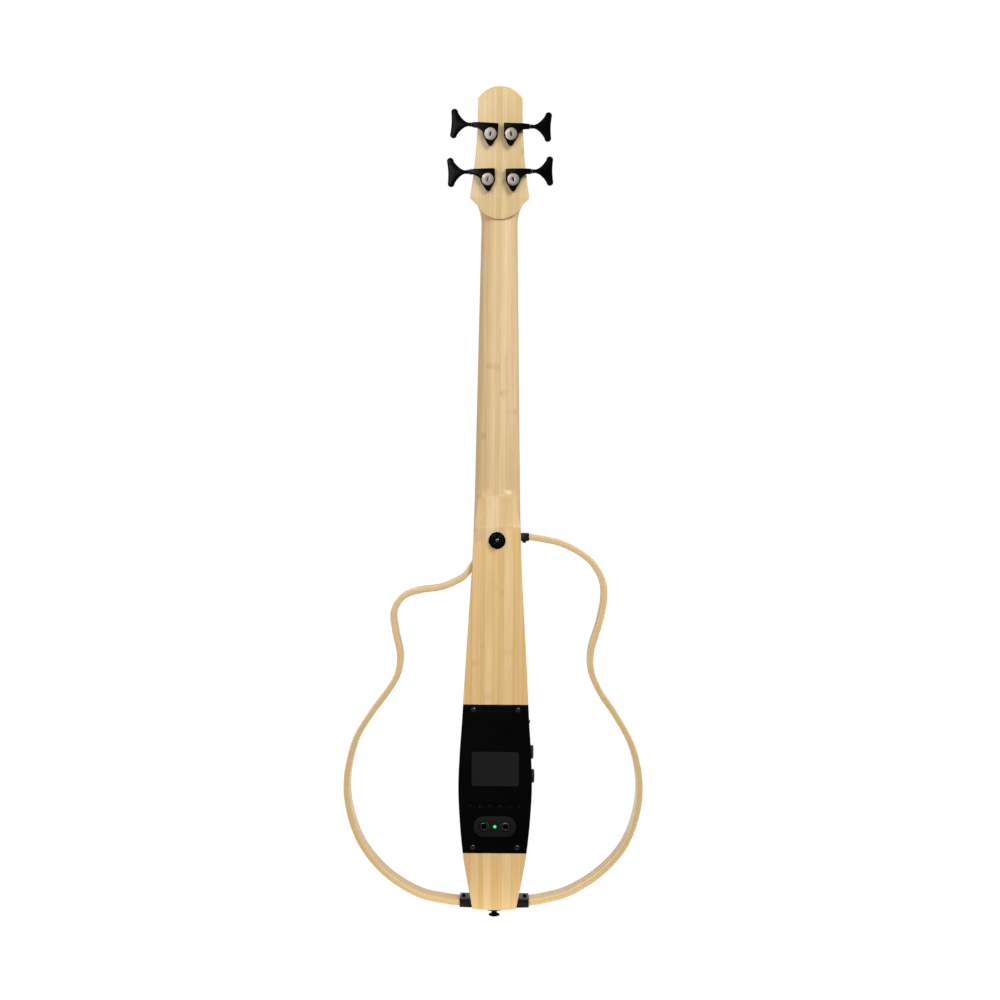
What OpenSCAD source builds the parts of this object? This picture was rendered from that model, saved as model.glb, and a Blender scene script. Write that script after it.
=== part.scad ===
// Upright four-string travel bass in laminated bamboo, with an open outline of two bent side frames.
// Millimetres. +Z runs up the neck, the strings face -Y, the back faces +Y, and X = 0 is the centreline.
// Z = 0 is the playing edge of the nut, and Y = 0 is the glue line between fingerboard and neck.

/* [Strings and fingerboard] */
// Distance from the nut to the saddle
scale_length = 726; // [720:1:732]
// Width of the fingerboard at the nut
nut_width = 43.8; // [43:0.1:45]
// Width of the fingerboard at its lower end
fingerboard_end_width = 62.2; // [61:0.1:63]
// Length of the fingerboard
fingerboard_length = 532; // [528:1:536]
// Thickness of the fingerboard on its centreline
fingerboard_t = 6; // [5:0.5:7]
// Radius of the playing face
fingerboard_radius = 400; // [300:10:600]
// Number of frets
fret_count = 22; // [20:1:22]
// Distance between the outer strings at the nut
nut_spread = 32; // [30:1:34]
// Distance between the outer strings at the saddle
saddle_spread = 54; // [51:1:57]

/* [Neck and headstock] */
// Depth of the neck behind the fingerboard, at the nut
neck_depth = 14; // [13:0.5:15]
// Depth of the neck where the heel begins
neck_depth_low = 17; // [16:0.5:18]
// Backward tilt of the headstock in degrees
head_tilt = 10; // [9:0.5:11]
// Thickness of the headstock with its face veneer
head_t = 18.5; // [17.5:0.5:19.5]
// Height of the headstock above its shoulder line
head_length = 152.2; // [150:0.2:155]

/* [Body] */
// Depth of the body block
body_depth = 42; // [41:0.5:43]
// Depth of the bamboo board in front of the electronics module
front_board_t = 14; // [13:0.5:15]
// Upper end of the electronics module
module_top = -590; // [-592:1:-588]
// Lower end of the electronics module
module_bottom = -768.6; // [-770:0.2:-767]

/* [Side frames] */
// Thickness of the bent bamboo strips
strip_t = 7; // [6.5:0.5:7.5]
// Depth of the strips from front to back
strip_depth = 28; // [26:1:30]

/* [Tuners] */
// Diameter of the round cap over each worm wheel
cap_d = 16; // [15.6:0.1:16.2]
// Distance from the post to the worm
worm_offset = 9.3; // [9.2:0.1:9.5]
// Height of a key across its two lobes
key_span = 34.8; // [33:0.2:36]

/* [Electronics] */
// Diameter of the two control knobs
knob_d = 16.5; // [16:0.1:17]
// Inner diameter of the two jacks
jack_bore = 6.5; // [6.4:0.1:6.6]
// Travel of the power button
button_travel = 0.8; // [0.6:0.1:1]

/* [Hidden] */
STRINGS = ["e", "a", "d", "g"];
$fn = 48;

BAMBOO = [0.87, 0.74, 0.53];
BAMBOO_DARK = [0.78, 0.62, 0.40];
ROSEWOOD = [0.24, 0.15, 0.10];
BLACK = [0.05, 0.05, 0.05];
DARK_GREY = [0.14, 0.14, 0.14];
STEEL = [0.72, 0.72, 0.70];
SATIN = [0.80, 0.79, 0.76];
BONE = [0.92, 0.90, 0.82];

// Sides that keep a cylinder of several hundred millimetres true
large_fn = 720;

// ---- Curves and lofts ----

// One point of a Catmull-Rom curve between b and c
function blend_point(a, b, c, d, t) =
    0.5 * (2 * b + (c - a) * t + (2 * a - 5 * b + 4 * c - d) * t * t + (3 * b - a - 3 * c + d) * t * t * t);
// A smooth curve through a list of points, with a number of steps between neighbours
function smooth_curve(p, steps) = let (last = len(p) - 1) concat(
    [for (i = [0:last - 1], k = [0:steps - 1])
        blend_point(p[max(i - 1, 0)], p[i], p[i + 1], p[min(i + 2, last)], k / steps)],
    [p[last]]);
function ease(t) = let (c = min(max(t, 0), 1)) c * c * (3 - 2 * c);
function signed_power(v, e) = sign(v) * pow(abs(v), e);
function arc_points(cx, cz, r, a0, a1, n) =
    [for (i = [0:n]) let (a = a0 + (a1 - a0) * i / n) [cx + r * cos(a), cz + r * sin(a)]];
function mirrored(p) = [for (i = [len(p) - 1:-1:0]) [-p[i][0], p[i][1]]];
function unit(v) = v / norm(v);

// A closed solid over rings that run counter-clockwise about the direction of travel
module loft(rings) {
    n = len(rings[0]);
    m = len(rings);
    sides = [for (i = [0:m - 2], j = [0:n - 1]) let (k = (j + 1) % n, a = i * n, b = a + n)
        each [[a + j, b + j, b + k], [a + j, b + k, a + k]]];
    first = [for (j = [0:n - 1]) j];
    last = [for (j = [n - 1:-1:0]) (m - 1) * n + j];
    polyhedron([for (r = rings) each r], concat([first], sides, [last]), convexity = 8);
}

// A plate between two depths, from a 2D shape drawn in x and z
module slab(y0, y1) {
    translate([0, y1, 0]) rotate([90, 0, 0]) linear_extrude(y1 - y0) children();
}
// Rods along +Y and +X
module rod_y(x, z, r, y0, y1) {
    translate([x, y0, z]) rotate([-90, 0, 0]) cylinder(r = r, h = y1 - y0);
}
module rod_x(y, z, r, x0, x1) {
    translate([x0, y, z]) rotate([0, 90, 0]) cylinder(r = r, h = x1 - x0);
}
// A round bar with bends: one ring at each point, square to the line that halves the bend
function heading(p, i) = unit(unit(p[min(i + 1, len(p) - 1)] - p[max(min(i, len(p) - 2), 0)])
    + unit(p[max(min(i, len(p) - 1), 1)] - p[max(i - 1, 0)]));
function ring_about(c, t, r, n) = let (u = unit([1, 0, 0] - t[0] * t), v = cross(t, u))
    [for (k = [0:n - 1]) c + r * (cos(360 * k / n) * u + sin(360 * k / n) * v)];
module bent_bar(p, r, n) {
    loft([for (i = [0:len(p) - 1]) ring_about(p[i], heading(p, i), r, n)]);
}
module block(low, high) {
    translate(low) cube(high - low);
}
// A cross recess in a screw's head, centred at a point
module cross_slot(x, y, z, size) {
    for (a = [0, 90]) translate([x, y, z]) rotate([0, a, 0]) cube(size, center = true);
}

// ---- Neck, headstock and fingerboard ----

nut_t = 5;
nut_h = 8.3;
heel_start = -338;
heel_end = -402;
heel_crease_w = 11;
// The area above the slanted line where the neck's heel meets the body block
ABOVE_HEEL_LINE = [[-45, -378.5], [-10, -378.5], [28, -398], [45, -398], [45, 60], [-45, 60]];
tenon_half_w = 15;
tenon_depth = 20;
tenon_end = -455;

function board_half_w(z) = (nut_width + (fingerboard_end_width - nut_width) * -z / fingerboard_length) / 2;
// The neck flares into the headstock's shoulders just above the nut
function neck_half_w(z) = board_half_w(min(z, 0)) + 1.6 * pow(max(z + 9, 0) / 14, 2.3);
// How far down the heel's slope a height is, from 0 at its crease to 1 at its foot
function heel_way(z) = min(max((heel_start - z) / 39, 0), 1);
function heel_rise(z) = heel_way(z) * (1.5 - 0.5 * heel_way(z));
function neck_back(z) =
    neck_depth + (neck_depth_low - neck_depth) * min(max(-z, 0), -heel_start) / -heel_start
    + (body_depth - neck_depth_low - 0.2) * heel_rise(z);
// Roundness of the neck's section: about 2.2 at the nut, and squarer at the heel
function neck_power(z) = 2 / (2.15 + 3.2 * heel_rise(z));
// The heel's slope is flat across a width that grows from its crease to the whole neck
function flat_half(z) = heel_crease_w * ease((heel_start + 7 - z) / 9)
    + (neck_half_w(z) - 1.2 - heel_crease_w) * heel_way(z);
function neck_ring(z) = [for (a = [0:7.5:180]) let (round = neck_half_w(z) - flat_half(z))
    [sign(cos(a)) * flat_half(z) + round * signed_power(cos(a), neck_power(z)),
        neck_back(z) * pow(sin(a), neck_power(z)), z]];

neck_top_levels = [-14, -11, -9, -7, -5, -3, -1, 1, 3, nut_t];
neck_levels = concat([for (z = [heel_end:4:heel_start]) z], [-336, -333, -330],
    [for (z = [-315:35:-35]) z], [-22], neck_top_levels);
// The headstock carries the flare on above the nut
flare_levels = [nut_t, 7, 9, 11, 13, 15];

head_power = 2.2;
head_waist = 26.8;
head_shoulder = 35.9;
shoulder_u = 22;
crown_r = 32;
tongue_r = 30.4;
tongue_u = -5;
veneer_t = 1.5;
post_bore_r = 6.5;

function head_half_w(u) =
    head_waist + (head_shoulder - head_waist) * pow((136 - u) / (136 - shoulder_u), head_power);
// Half of the headstock's outline, from the tongue over the neck up to the crown
head_half = concat(
    arc_points(0, tongue_u + tongue_r, tongue_r, -90, -32, 10),
    [[28.6, 12.6], [32.2, 16.4], [34.7, 18.5], [35.7, 20]],
    [for (u = [shoulder_u:9.5:136]) [head_half_w(u), u]],
    [[26.4, 138.2]],
    arc_points(0, head_length - crown_r, crown_r, 37, 90, 9));

// The headstock's own frame: X across, Z up its face, Y from the face towards the back
module head_frame() {
    translate([0, 0, nut_t]) rotate([-head_tilt, 0, 0]) children();
}
function head_point(x, v, u) =
    [x, v * cos(head_tilt) + u * sin(head_tilt), nut_t + u * cos(head_tilt) - v * sin(head_tilt)];

module head_outline() {
    polygon(concat(head_half, mirrored(head_half)));
}

module neck() color(BAMBOO) difference() {
    union() {
        intersection() {
            loft([for (z = neck_levels) neck_ring(z)]);
            slab(-1, body_depth + 1) polygon(ABOVE_HEEL_LINE);
        }
        block([-tenon_half_w, 0, tenon_end], [tenon_half_w, tenon_depth, -370]);
    }
    truss_rod_channel();
}

// The headstock's front ends on the plane of the nut's upper face
module below_nut() block([-50, -20, -30], [50, 9.5, nut_t]);
module headstock() color(BAMBOO) difference() {
    union() {
        head_frame() slab(veneer_t, head_t) head_outline();
        intersection() {
            loft([for (z = flare_levels) neck_ring(z)]);
            head_frame() block([-40, veneer_t, -1], [40, head_t - 1, 12]);
        }
    }
    loft([for (z = neck_top_levels) neck_ring(z)]);
    below_nut();
    head_frame() {
        for (s = STRINGS) rod_y(tuner_x(s), tuner_u(s), post_bore_r, 0, head_t + 1);
        truss_pocket();
        for (q = ROD_COVER_SCREWS) rod_y(q[0], q[1], 0.95, 0, 9);
        for (s = STRINGS) rod_y(ear_x(s), ear_u(s), 0.95, head_t - 9, head_t + 1);
    }
}

module headstock_face() color(BAMBOO_DARK) difference() {
    head_frame() difference() {
        slab(0, veneer_t) head_outline();
        for (s = STRINGS) rod_y(tuner_x(s), tuner_u(s), post_bore_r, -1, veneer_t + 1);
        truss_pocket();
        for (q = ROD_COVER_SCREWS) rod_y(q[0], q[1], 0.95, -1, 9);
    }
    below_nut();
}

function fret_z(i) = -scale_length * (1 - pow(2, -i / 12));
fret_w = 2.4;
fret_h = 1.1;
tang_w = 0.6;
tang_h = 2;

module board_face(offset_out) {
    translate([0, fingerboard_radius - fingerboard_t, -fingerboard_length - 5])
        cylinder(r = fingerboard_radius + offset_out, h = fingerboard_length + 10, $fn = large_fn);
}
module board_plan(z0, z1) {
    a = board_half_w(z0);
    b = board_half_w(z1);
    polygon([[-a, z0], [a, z0], [b, z1], [-b, z1]]);
}

module fingerboard() color(ROSEWOOD) difference() {
    intersection() {
        slab(-fingerboard_t, 0) board_plan(-fingerboard_length, 0);
        board_face(0);
    }
    for (z = [for (i = [1:fret_count]) fret_z(i)])
        block([-40, -10, z - tang_w / 2], [40, tang_h - fingerboard_t, z + tang_w / 2]);
    for (p = DOTS) rod_y(p[0], p[1], dot_r, -10, dot_t - fingerboard_t);
}

module fret(i) {
    z = fret_z(i);
    intersection() {
        slab(-10, 0) board_plan(z - fret_w / 2, z + fret_w / 2);
        board_face(fret_h);
        union() {
            difference() {
                block([-40, -10, z - fret_w / 2], [40, 0, z + fret_w / 2]);
                board_face(0);
            }
            block([-40, -fingerboard_t - 0.4, z - tang_w / 2], [40, tang_h - fingerboard_t, z + tang_w / 2]);
        }
    }
}
module frets() color(STEEL) for (i = [1:fret_count]) fret(i);

dot_r = 3;
dot_t = 1.5;
function mid_fret(i) = (fret_z(i) + fret_z(i - 1)) / 2;
DOTS = concat([for (i = [3, 5, 7, 9, 15, 17, 19, 21]) [0, mid_fret(i)]],
    [for (x = [-11, 11]) [x, mid_fret(12)]]);
module position_dots() color(BONE) for (p = DOTS)
    rod_y(p[0], p[1], dot_r, crown_drop(abs(p[0]) + dot_r) - fingerboard_t, dot_t - fingerboard_t);

module nut() color(BONE) difference() {
    block([-nut_width / 2, -nut_h, 0], [nut_width / 2, 0, nut_t]);
    for (s = STRINGS) bent_bar(string_points(s), gauge_r(s) + 0.03, string_sides);
}

// ---- Truss rod ----

truss_end = -372;
ROD_COVER_SCREWS = [[-6.5, 4.5], [6.5, 4.5], [0, 29]];
// The hollow at the foot of the headstock, where the rod's nut is reached
module truss_pocket() block([-4.6, -1, -1], [4.6, 9, 24]);
module truss_rod_channel() {
    block([-3.2, -1, truss_end - 2], [3.2, 8.6, nut_t + 1]);
}
truss_y = 5.2;
module truss_rod() color(STEEL) {
    translate([0, truss_y, truss_end]) cylinder(r = 2.9, h = -truss_end + nut_t + 1);
    translate([0, truss_y, nut_t + 1]) cylinder(r = 3.4, h = 6, $fn = 6);
    block([-3.1, 1.2, truss_end - 1.5], [3.1, 8.4, truss_end + 4]);
}
module truss_rod_cover() color(BLACK) head_frame() difference() {
    slab(-1.6, 0) polygon(concat(
        [[-8.5, 1], [8.5, 1], [8.5, 8]], arc_points(0, 29, 4.5, -20, 200, 12), [[-8.5, 8]]));
    for (q = ROD_COVER_SCREWS) rod_y(q[0], q[1], 1.2, -3, 1);
}

// ---- Body block ----

// Half-width of the body against height, from the heel to the tail
BODY_EDGE = [[28.1, -370], [29.6, -420], [32, -465], [35, -515], [37.6, -560], [40.4, -610],
    [43, -650], [44.3, -690], [42.3, -730], [38.6, -767], [33, -800], [29.6, -818], [26.4, -835.3]];
tail_drop = 1.6;
tail_corner = BODY_EDGE[len(BODY_EDGE) - 1];
tail_z = tail_corner[1] - tail_drop;
body_right = concat(smooth_curve(BODY_EDGE, 6),
    [for (i = [1:6]) let (t = 1 - i / 6) [tail_corner[0] * t, tail_corner[1] - tail_drop * (1 - t * t)]]);

module body_plan() {
    polygon(concat(body_right, mirrored(body_right)));
}
module body_outline() difference() {
    body_plan();
    polygon(ABOVE_HEEL_LINE);
}

module body_block() color(BAMBOO) difference() {
    slab(0, body_depth) body_outline();
    block([-60, front_board_t, module_bottom], [60, body_depth + 1, module_top]);
    block([-tenon_half_w, -1, tenon_end], [tenon_half_w, tenon_depth, -300]);
    strip_slot(TREBLE_LINE[0], TREBLE_LINE[2]);
    rod_y(0, strap_z, strap_screw_r, body_depth - strap_screw_l + 3, body_depth + 1);
    translate([0, strap_tail_y, tail_z - 1]) cylinder(r = strap_screw_r, h = strap_screw_l - 2);
    rod_y(pickup_wire_x, saddle_z, 1.5, -1, front_board_t + 1);
}

// ---- Side frames and clamps ----

frame_y0 = body_depth / 2 - strip_depth / 2;
// Centrelines of the two strips, from the heel round to the tail
TREBLE_LINE = [[20, -409], [26, -418], [32, -427], [36, -433], [45, -440.5], [67, -450], [93, -454],
    [113, -462], [124, -480], [122, -503], [116, -532], [119, -556], [131, -577], [150, -603],
    [169, -636], [179, -682], [175, -723], [159, -763], [129, -797.5], [91, -820.5], [57, -828.2],
    [46, -829.6], [35, -831]];
BASS_LINE = [[-32, -388], [-41, -389.2], [-50, -390.4], [-75, -395.5], [-98, -406], [-116, -420.5],
    [-128, -442], [-129.5, -465], [-124, -493], [-115, -524], [-115, -550], [-126, -576],
    [-145, -604], [-165, -641], [-174, -682], [-171, -722], [-155.5, -762], [-127, -794],
    [-90, -817.5], [-57, -827], [-46, -828.8], [-35, -830.6]];
strip_bevel = 1.4;

// A strip's section at one point of its centreline: h across the strip and y through it
function strip_ring(p, dir) = let (
    h = strip_t / 2, b = strip_bevel, y0 = frame_y0, y1 = frame_y0 + strip_depth,
    right = [[h - b, y0], [h, y0 + b], [h, y1 - b], [h - b, y1]],
    left = [[b - h, y1], [-h, y1 - b], [-h, y0 + b], [b - h, y0]], section = concat(right, left))
    [for (q = section) [p[0] + dir[1] * q[0], q[1], p[1] - dir[0] * q[0]]];
module strip(line, steps) {
    path = smooth_curve(line, steps);
    last = len(path) - 1;
    loft([for (i = [0:last]) strip_ring(path[i], unit(path[min(i + 1, last)] - path[max(i - 1, 0)]))]);
}
module treble_frame() color(BAMBOO_DARK) strip(TREBLE_LINE, 5);
module bass_frame() color(BAMBOO_DARK) strip(BASS_LINE, 5);

clamp_end = 41.6;
clamp_top = -824.6;
clamp_bottom = -835.8;
upper_clamp_end = -38.4;
upper_clamp_z = [-393.6, -384.2];
clamp_y = [frame_y0 - 2, frame_y0 + strip_depth + 2];

// A slot for a strip's straight end, from its tip towards a second point on its centreline
slot_gap = 0.15;
module strip_slot(tip, near) {
    translate([tip[0], frame_y0, tip[1]]) rotate([0, -atan2(near[1] - tip[1], near[0] - tip[0]), 0])
        block([0, -slot_gap, -strip_t / 2 - slot_gap], [30, strip_depth + slot_gap, strip_t / 2 + slot_gap]);
}
module tail_clamp(side, line) {
    difference() {
        slab(clamp_y[0], clamp_y[1]) difference() {
            polygon([[side * 24, clamp_bottom + 0.6], [side * clamp_end, clamp_bottom + 1.2],
                [side * clamp_end, clamp_top], [side * 24, clamp_top]]);
            body_plan();
        }
        strip_slot(line[len(line) - 1], line[len(line) - 3]);
        clamp_screw_hole(side * tail_screw_x, clamp_top - 3, clamp_top + 1);
    }
}
module clamp_screw_hole(x, z0, z1) {
    translate([x, body_depth / 2, z0]) cylinder(r = 1.25, h = z1 - z0);
}
tail_screw_x = 36.8;
upper_screw_x = -33;
module frame_clamps() color(BLACK) {
    tail_clamp(1, TREBLE_LINE);
    tail_clamp(-1, BASS_LINE);
    difference() {
        slab(clamp_y[0], clamp_y[1]) difference() {
            polygon([[-24, upper_clamp_z[0]], [-24, upper_clamp_z[1]],
                [upper_clamp_end, upper_clamp_z[1]], [upper_clamp_end, upper_clamp_z[0]]]);
            body_plan();
        }
        strip_slot(BASS_LINE[0], BASS_LINE[2]);
        clamp_screw_hole(upper_screw_x, upper_clamp_z[0] - 1, upper_clamp_z[0] + 3);
    }
}
// A socket-head screw that stands on a clamp, with its head on the loop's inner side
module clamp_screw(x, z, up) {
    translate([x, body_depth / 2, z]) mirror([0, 0, up ? 0 : 1]) difference() {
        union() {
            cylinder(r = 2.3, h = 2.4);
            translate([0, 0, -1.7]) cylinder(r = 1.22, h = 2);
        }
        translate([0, 0, 1.2]) cylinder(r = 1.2, h = 3, $fn = 6);
    }
}
module clamp_screws() color(BLACK) {
    clamp_screw(tail_screw_x, clamp_top, true);
    clamp_screw(-tail_screw_x, clamp_top, true);
    clamp_screw(upper_screw_x, upper_clamp_z[0], false);
}

// ---- Strap buttons ----

strap_z = -393;
strap_tail_y = 30.5;
strap_base_r = 10.2;
strap_flange_r = 6.8;
strap_h = 9;
strap_screw_r = 1.75;
strap_screw_l = 22;

// Turned profile of a strap button: base washer, waist and dished flange
module strap_button_shape() rotate_extrude() polygon([
    [2, 0], [strap_base_r, 0], [strap_base_r, 0.9], [strap_base_r - 0.7, 1.6], [4.6, 2.1], [3.4, 3.2],
    [3.2, 5.2], [strap_flange_r - 0.8, 6.6], [strap_flange_r, 7.4], [strap_flange_r - 0.3, 8.3],
    [strap_flange_r - 1.3, strap_h], [4.4, strap_h], [3.7, 8.2], [2, 6.4]]);
module strap_screw_shape() difference() {
    union() {
        translate([0, 0, 6.4]) cylinder(r1 = 1.9, r2 = 3.6, h = 1.8);
        translate([0, 0, 8.2]) cylinder(r = 3.6, h = 0.5);
        translate([0, 0, 6.4 - strap_screw_l]) cylinder(r = strap_screw_r - 0.01, h = strap_screw_l);
    }
    for (a = [0, 90]) rotate(a) translate([-2, -0.35, 7.6]) cube([4, 0.7, 2]);
}
module at_heel() translate([0, body_depth, strap_z]) rotate([-90, 0, 0]) children();
module at_tail() translate([0, strap_tail_y, tail_z]) rotate([180, 0, 0]) children();
module heel_strap_button() color(BLACK) at_heel() strap_button_shape();
module tail_strap_button() color(BLACK) at_tail() strap_button_shape();
module strap_screws() color(STEEL) {
    at_heel() strap_screw_shape();
    at_tail() strap_screw_shape();
}

// ---- Bridge and strings ----

saddle_z = -scale_length;
bridge_half_w = 39;
bridge_top = -8.5;
bridge_z = [-752, -712];
trough_z = [-743.5, -729.5];
saddle_t = 3;
saddle_top = -11.4;
anchor_y = -5.4;
pickup_wire_x = -30;
ball_r = 2.7;

// Each string's diameter and the turns that it takes round its post
GAUGE = [["e", 2.6, 2], ["a", 2.1, 3], ["d", 1.6, 4], ["g", 1.15, 4]];
function index_of(s) = search([s], STRINGS)[0];
function gauge_r(s) = GAUGE[index_of(s)][1] / 2;
function string_x(s, spread) = (index_of(s) / 3 - 0.5) * spread;
function crown_drop(x) = x * x / (2 * fingerboard_radius);
// The string's centreline points, from the ball end to the last point before its winding
function string_points(s) = let (
    r = gauge_r(s), xn = string_x(s, nut_spread), xs = string_x(s, saddle_spread), p = post_meet(s))
    [[xs, anchor_y, bridge_z[0] - 1], [xs, anchor_y, trough_z[0] + 1.5],
     [xs, saddle_top - r + crown_drop(xs), saddle_z], [xn, crown_drop(xn) - 7.7 - r, nut_t / 2], p];

string_sides = 12;
module bass_string(s) color(STEEL) {
    bent_bar(string_points(s), gauge_r(s), string_sides);
    translate([string_x(s, saddle_spread), anchor_y, bridge_z[0] - ball_r]) rotate([0, 90, 0])
        cylinder(r = ball_r, h = 3.6, center = true);
}

module bridge() color(ROSEWOOD) difference() {
    slab(bridge_top, 0) hull() for (x = [-1, 1], z = bridge_z)
        translate([x * (bridge_half_w - 5), z - sign(z - saddle_z) * 5]) circle(r = 5, $fn = 32);
    block([-bridge_half_w + 5, bridge_top - 1, trough_z[0]], [bridge_half_w - 5, -3, trough_z[1]]);
    saddle_block(bridge_top - 1, -2.6);
    for (s = STRINGS) translate([string_x(s, saddle_spread), anchor_y, bridge_z[0] - 1])
        cylinder(r = 1.7, h = trough_z[0] - bridge_z[0] + 2);
    rod_y(pickup_wire_x, saddle_z, 0.8, -5, 1);
}
saddle_half_w = 33;
module saddle_block(y0, y1) {
    block([-saddle_half_w, y0, saddle_z - saddle_t / 2], [saddle_half_w, y1, saddle_z + saddle_t / 2]);
}
module saddle() color(BONE) difference() {
    intersection() {
        saddle_block(-20, -4);
        translate([0, fingerboard_radius + saddle_top, saddle_z - 10])
            cylinder(r = fingerboard_radius, h = 20, $fn = large_fn);
    }
    for (s = STRINGS) bent_bar(string_points(s), gauge_r(s) + 0.03, string_sides);
}
module saddle_pickup() color(SATIN) {
    block([-saddle_half_w, -4, saddle_z - 1.2], [saddle_half_w, -2.6, saddle_z + 1.2]);
    rod_y(pickup_wire_x, saddle_z, 0.75, -2.7, front_board_t + 4);
}

// ---- Tuners ----

// Place of each post on the headstock: x across it and u up it, and how many degrees its key is turned up
TUNER_PLACES = [["e", -16.1, 42.5, 1], ["a", -13.1, 96.1, -1.3], ["d", 11.7, 96.1, 3],
    ["g", 14.7, 42.5, -2.3]];
function tuner_x(s) = TUNER_PLACES[index_of(s)][1];
function tuner_u(s) = TUNER_PLACES[index_of(s)][2];
function tuner_turn(s) = TUNER_PLACES[index_of(s)][3];
function tuner_side(s) = sign(tuner_x(s));
ear_reach = 11;
function ear_x(s) = tuner_x(s) + tuner_side(s) * (ear_reach * sin(tuner_turn(s)) - 0.3 * cos(tuner_turn(s)));
function ear_u(s) = tuner_u(s) - ear_reach * cos(tuner_turn(s)) - 0.3 * sin(tuner_turn(s));

post_r = 4.8;
spool_r = 4.4;
post_clear = 0.06;
post_front = -16.5;
wheel_r = 6.8;
worm_r = 2.4;
shaft_r = 1.7;
housing_h = 7.4;
well_r = 7.2;
shell_r = cap_d / 2 + 0.9;
well_floor = 1.2;
bar_half = 3.6;
bar_tip_half = 3.1;
bar_reach = 21.6;
worm_v = head_t + 4;

// Level of each string on its post, and the point where it meets the post
function wrap_v(s) = -3.2 - gauge_r(s) * (2 * winding_turns(s) + 1) - 0.15;
function winding_turns(s) = GAUGE[index_of(s)][2];
function post_meet(s) =
    head_point(tuner_x(s) - tuner_side(s) * (spool_r + gauge_r(s) + 0.25), wrap_v(s), tuner_u(s) + 1);

// A tuner's own frame: the post on Y, the key towards +X
module tuner_frame(s) {
    head_frame() translate([tuner_x(s), 0, tuner_u(s)]) mirror([tuner_side(s) < 0 ? 1 : 0, 0, 0])
        rotate([0, -tuner_turn(s), 0]) children();
}

module tuner_housing(s) color(BLACK) tuner_frame(s) difference() {
    union() {
        rod_y(0, 0, shell_r, head_t, head_t + housing_h);
        slab(head_t, head_t + housing_h) polygon([[-shell_r, 0], [-shell_r, worm_offset + bar_half],
            [14.5, worm_offset + bar_half], [bar_reach, worm_offset + bar_tip_half],
            [bar_reach, worm_offset - bar_tip_half], [14.5, worm_offset - bar_half], [7.9, 0]]);
        slab(head_t, head_t + housing_h) polygon([[-7.9, -3.9], [7.9, -3.9], [2.1, -ear_reach - 2.2],
            [-0.3, -ear_reach - 3.4], [-2.7, -ear_reach - 2.2]]);
    }
    rod_y(0, 0, well_r, head_t + well_floor, head_t + housing_h + 1);
    rod_y(0, 0, cap_d / 2 + 0.02, head_t + housing_h - 1, head_t + housing_h + 1);
    rod_y(0, 0, post_r + 0.1, head_t - 1, head_t + 3);
    rod_x(worm_v, worm_offset, worm_r + 0.15, -6, 12);
    rod_x(worm_v, worm_offset, shaft_r + post_clear, 11, bar_reach + 1);
    rod_y(-0.3, -ear_reach, 1.5, head_t - 1, head_t + housing_h + 1);
    rod_y(-0.3, -ear_reach, 2.6, head_t + 4, head_t + housing_h + 1);
}

// A key's outline from its stem: concave flanks, two round lobes and a slightly hollow outer edge
key_lobe_r = 4.1;
key_reach = 19.7;
function key_flank(t) = 1.9 + (key_span / 2 - 6.1) * pow(t / 15.6, 2.1);
lobe_z = key_span / 2 - key_lobe_r;
key_half = concat([[-1, 1.9]], [for (t = [0:2.6:15.6]) [t, key_flank(t)]],
    arc_points(key_reach, lobe_z, key_lobe_r, 180, 0, 12),
    [[key_reach + 3.5, 9], [key_reach + 3.1, 4], [key_reach + 3, 0]]);
function flipped(p) = [for (i = [len(p) - 1:-1:0]) [p[i][0], -p[i][1]]];
key_start = bar_reach + 3;
key_t = 5.2;

module tuner_key(s) color(BLACK) tuner_frame(s) translate([0, worm_v, worm_offset]) {
    rod_x(0, 0, shaft_r, -5.6, key_start + 2);
    difference() {
        rod_x(0, 0, worm_r, -4.6, 4.6);
        for (x = [-3.9:1.3:3.9]) translate([x, 0, 0]) rotate([0, 90, 0]) rotate_extrude()
            polygon([[worm_r + 0.5, -0.45], [worm_r - 0.6, 0], [worm_r + 0.5, 0.45]]);
    }
    rod_x(0, 0, 2.9, bar_reach + 0.3, bar_reach + 1.3);
    rod_x(0, 0, 2.3, bar_reach + 1.2, key_start + 1);
    translate([key_start, 0, 0]) slab(-key_t / 2, key_t / 2) polygon(concat(key_half, flipped(key_half)));
}

module tuner_post(s) color(STEEL) tuner_frame(s) difference() {
    union() {
        rod_y(0, 0, post_r, -1.9, head_t + 2);
        rotate([90, 0, 0]) rotate_extrude() polygon([[0, 1.9], [6, 1.9], [6, 2.7], [spool_r, 3.1],
            [spool_r, 13], [5.8, 14], [6, 14.6], [6, 16], [5.6, -post_front], [0, -post_front]]);
        slab(head_t + 1.5, head_t + 6) worm_wheel();
    }
    block([-7, post_front - 1, -1.4], [7, post_front + 4, 1.4]);
    rod_y(0, 0, 1.8, post_front - 1, post_front + 9);
}
// A wheel of twenty shallow teeth
module worm_wheel() {
    polygon([for (i = [0:79]) let (r = wheel_r - (i % 4 < 2 ? 0.5 : 0), a = i * 4.5)
        [r * cos(a), r * sin(a)]]);
}

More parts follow.
